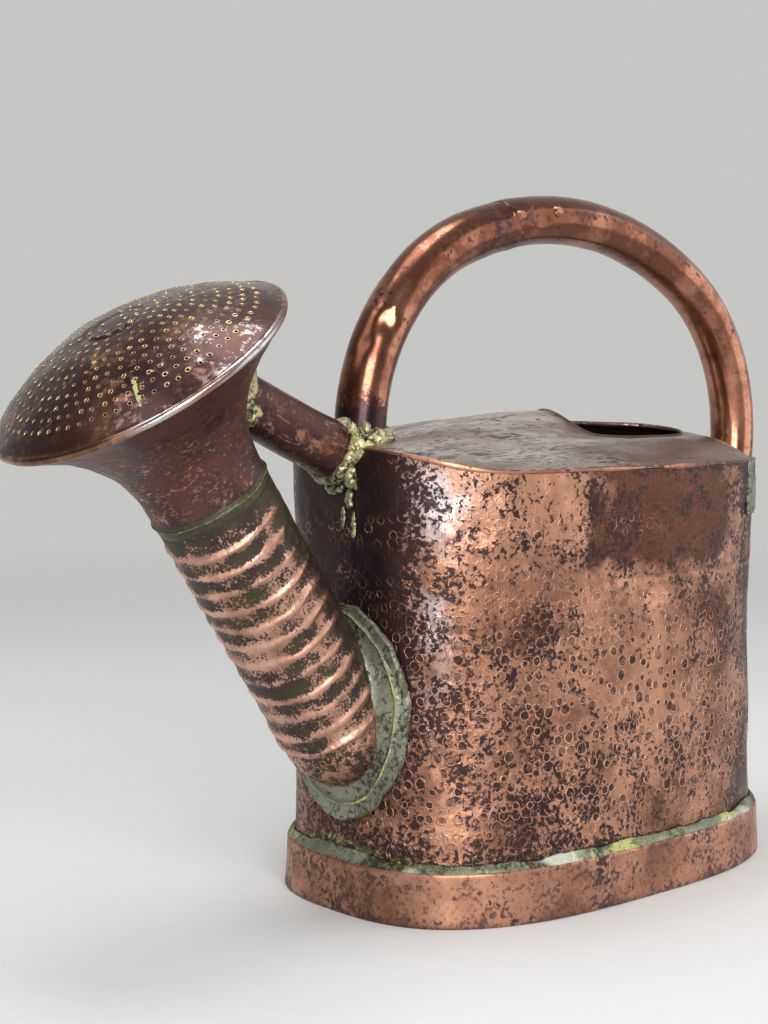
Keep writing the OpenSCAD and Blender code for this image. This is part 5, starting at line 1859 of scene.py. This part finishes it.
def pale_floor():
    """Pale floor: a plain matt colour near the can, which fades to the background's colour far away for the
    camera and reflections."""
    material = bpy.data.materials.new("pale_floor")
    tree = emptied(material)
    place = put(tree, "ShaderNodeTexCoord").outputs["Object"]
    away = put(tree, "ShaderNodeVectorMath", {"operation": "LENGTH"}, in_0=place).outputs["Value"]
    far = spread(tree, away, 0.55, 2.2)
    tint = blended(tree, noise(tree, place, 60.0, 6.0, 0.7), (0.65, 0.66, 0.67, 1), (0.7, 0.705, 0.71, 1))
    matt = put(tree, "ShaderNodeBsdfPrincipled", Base_Color=tint, Roughness=0.95).outputs[0]
    glow = put(tree, "ShaderNodeEmission", Color=BACKDROP).outputs[0]
    path = put(tree, "ShaderNodeLightPath").outputs
    seen = maths("MAXIMUM", tree, path["Is Camera Ray"], path["Is Glossy Ray"])
    mixed = put(tree, "ShaderNodeMixShader", in_0=times(tree, far, seen), in_1=matt, in_2=glow)
    put(tree, "ShaderNodeOutputMaterial", Surface=mixed.outputs[0])
    return material


def build_floor():
    """A flat disc of rings that reaches far past the can."""
    columns = 96
    a = full_turn(columns)
    r = np.array([0.2, 0.6, 1.5, 4.0, 14.0])[:, None]
    low = np.full((len(r), columns), -0.0002)
    points = np.stack([r * np.cos(a), r * np.sin(a), low], -1).reshape(-1, 3)
    points = np.vstack([points, [[0, 0, -0.0002]]])
    k = np.arange(columns)
    centre = np.stack([k, (k + 1) % columns, 0 * k + len(points) - 1], -1)
    return make_piece("floor", points, [quad_rows(len(r), columns, False)[:, ::-1], centre])


def studio_light():
    """A plain sky that grows lighter upwards and to the side, and is the background's colour for the
    camera."""
    world = bpy.data.worlds.new("studio")
    bpy.context.scene.world = world
    tree = emptied(world)
    where = put(tree, "ShaderNodeTexCoord").outputs["Generated"]
    parts = put(tree, "ShaderNodeSeparateXYZ", Vector=where).outputs
    behind = times_plus(tree, parts[0], 0.6, times(tree, parts[1], 0.18))
    level = spread(tree, times_plus(tree, parts[2], 0.3, behind), -0.5, 0.6, 0.07, 0.68)
    soft = put(tree, "ShaderNodeBackground", Color=(1, 0.99, 0.975, 1), Strength=level).outputs[0]
    even = put(tree, "ShaderNodeBackground", Color=BACKDROP, Strength=1.0).outputs[0]
    seen = put(tree, "ShaderNodeLightPath").outputs["Is Camera Ray"]
    mixed = put(tree, "ShaderNodeMixShader", in_0=seen, in_1=soft, in_2=even).outputs[0]
    put(tree, "ShaderNodeOutputWorld", Surface=mixed)


def soft_lamp(name, toward, away, size, power, warmth=(1, 1, 1)):
    """A rectangular lamp aimed at the can from a direction."""
    data = bpy.data.lights.new(name, "AREA")
    data.shape = "RECTANGLE"
    data.size, data.size_y = size
    data.energy, data.color = power, warmth
    lamp = bpy.data.objects.new(name, data)
    bpy.context.scene.collection.objects.link(lamp)
    lamp.location = AIM + Vector(toward).normalized() * away
    lamp.rotation_mode = "QUATERNION"
    lamp.rotation_quaternion = (lamp.location - AIM).to_track_quat("Z", "Y")


LAMPS = (
    ("window", (-0.42, -0.86, 0.36), 1.9, (0.55, 1.4), 22, (1, 0.985, 0.96)),
    ("side_panel", (0.8, -0.62, 0.3), 1.9, (1.7, 1.7), 11),
    ("overhead", (-0.05, 0.07, 1.0), 1.7, (0.85, 0.85), 12),
    ("camera_strip", (-0.66, -0.76, 0.22), 2.0, (0.3, 1.3), 11),
    ("left_low", (-0.95, -0.32, 0.22), 1.8, (0.5, 0.9), 3),
    ("left_panel", (-0.7, 0.05, 0.72), 1.7, (0.7, 0.7), 4),
)
CAMERA_PLACE, CAMERA_LENS = (-0.74134, -0.71428, 0.28024), 62.42
CAMERA_DOWN, CAMERA_TURN = 4.21, 41.29


class CAN_OT_stage(bpy.types.Operator):
    """Set the pale floor, the soft light and the camera"""

    bl_idname = "can.stage"
    bl_label = "Stage"

    def execute(self, context):
        floor = build_floor()
        floor.data.materials.append(pale_floor())
        studio_light()
        for lamp in LAMPS:
            soft_lamp(*lamp)
        eye = bpy.data.cameras.new("view")
        eye.lens, eye.sensor_width = CAMERA_LENS, 36.0
        camera = bpy.data.objects.new("view", eye)
        context.scene.collection.objects.link(camera)
        camera.location = CAMERA_PLACE
        camera.rotation_euler = (math.radians(90 - CAMERA_DOWN), 0, -math.radians(CAMERA_TURN))
        context.scene.camera = camera
        context.scene.view_settings.view_transform = "Standard"
        return {"FINISHED"}


class CAN_PT_panel(bpy.types.Panel):
    """Sidebar panel that lists the pieces and their sizes"""

    bl_label = "Copper can"
    bl_idname = "CAN_PT_panel"
    bl_space_type = "VIEW_3D"
    bl_region_type = "UI"
    bl_category = "Copper can"

    def draw(self, context):
        column = self.layout.column()
        for operator in OPERATORS:
            column.operator(operator.bl_idname)
        for label in GROUPS:
            group = getattr(context.scene, label)
            box = self.layout.box()
            for key in group.__annotations__:
                box.prop(group, key)


GROUPS = {
    "can_body": CAN_body_sizes, "can_handle": CAN_handle_sizes, "can_spout": CAN_spout_sizes,
    "can_rose": CAN_rose_sizes, "can_colours": CAN_finish_colours,
}
OPERATORS = (
    CAN_OT_wall, CAN_OT_foot, CAN_OT_top, CAN_OT_handle, CAN_OT_spout, CAN_OT_rose,
    CAN_OT_brace, CAN_OT_solder, CAN_OT_plain_nodes, CAN_OT_stage,
)


def register():
    """Registers the sizes, operators and panel."""
    for cls in (*GROUPS.values(), *OPERATORS, CAN_PT_panel):
        bpy.utils.register_class(cls)
    for label, cls in GROUPS.items():
        setattr(bpy.types.Scene, label, bpy.props.PointerProperty(type=cls))


def unregister():
    """Takes them away again."""
    for label in GROUPS:
        delattr(bpy.types.Scene, label)
    for cls in (CAN_PT_panel, *reversed(OPERATORS), *reversed(list(GROUPS.values()))):
        bpy.utils.unregister_class(cls)


def main():
    """Builds every piece in order."""
    register()
    bpy.ops.can.wall()
    bpy.ops.can.foot()
    bpy.ops.can.top()
    bpy.ops.can.handle()
    bpy.ops.can.spout()
    bpy.ops.can.rose()
    bpy.ops.can.brace()
    bpy.ops.can.solder()
    bpy.ops.can.plain_nodes()
    bpy.ops.can.stage()


if __name__ == "__main__":
    main()
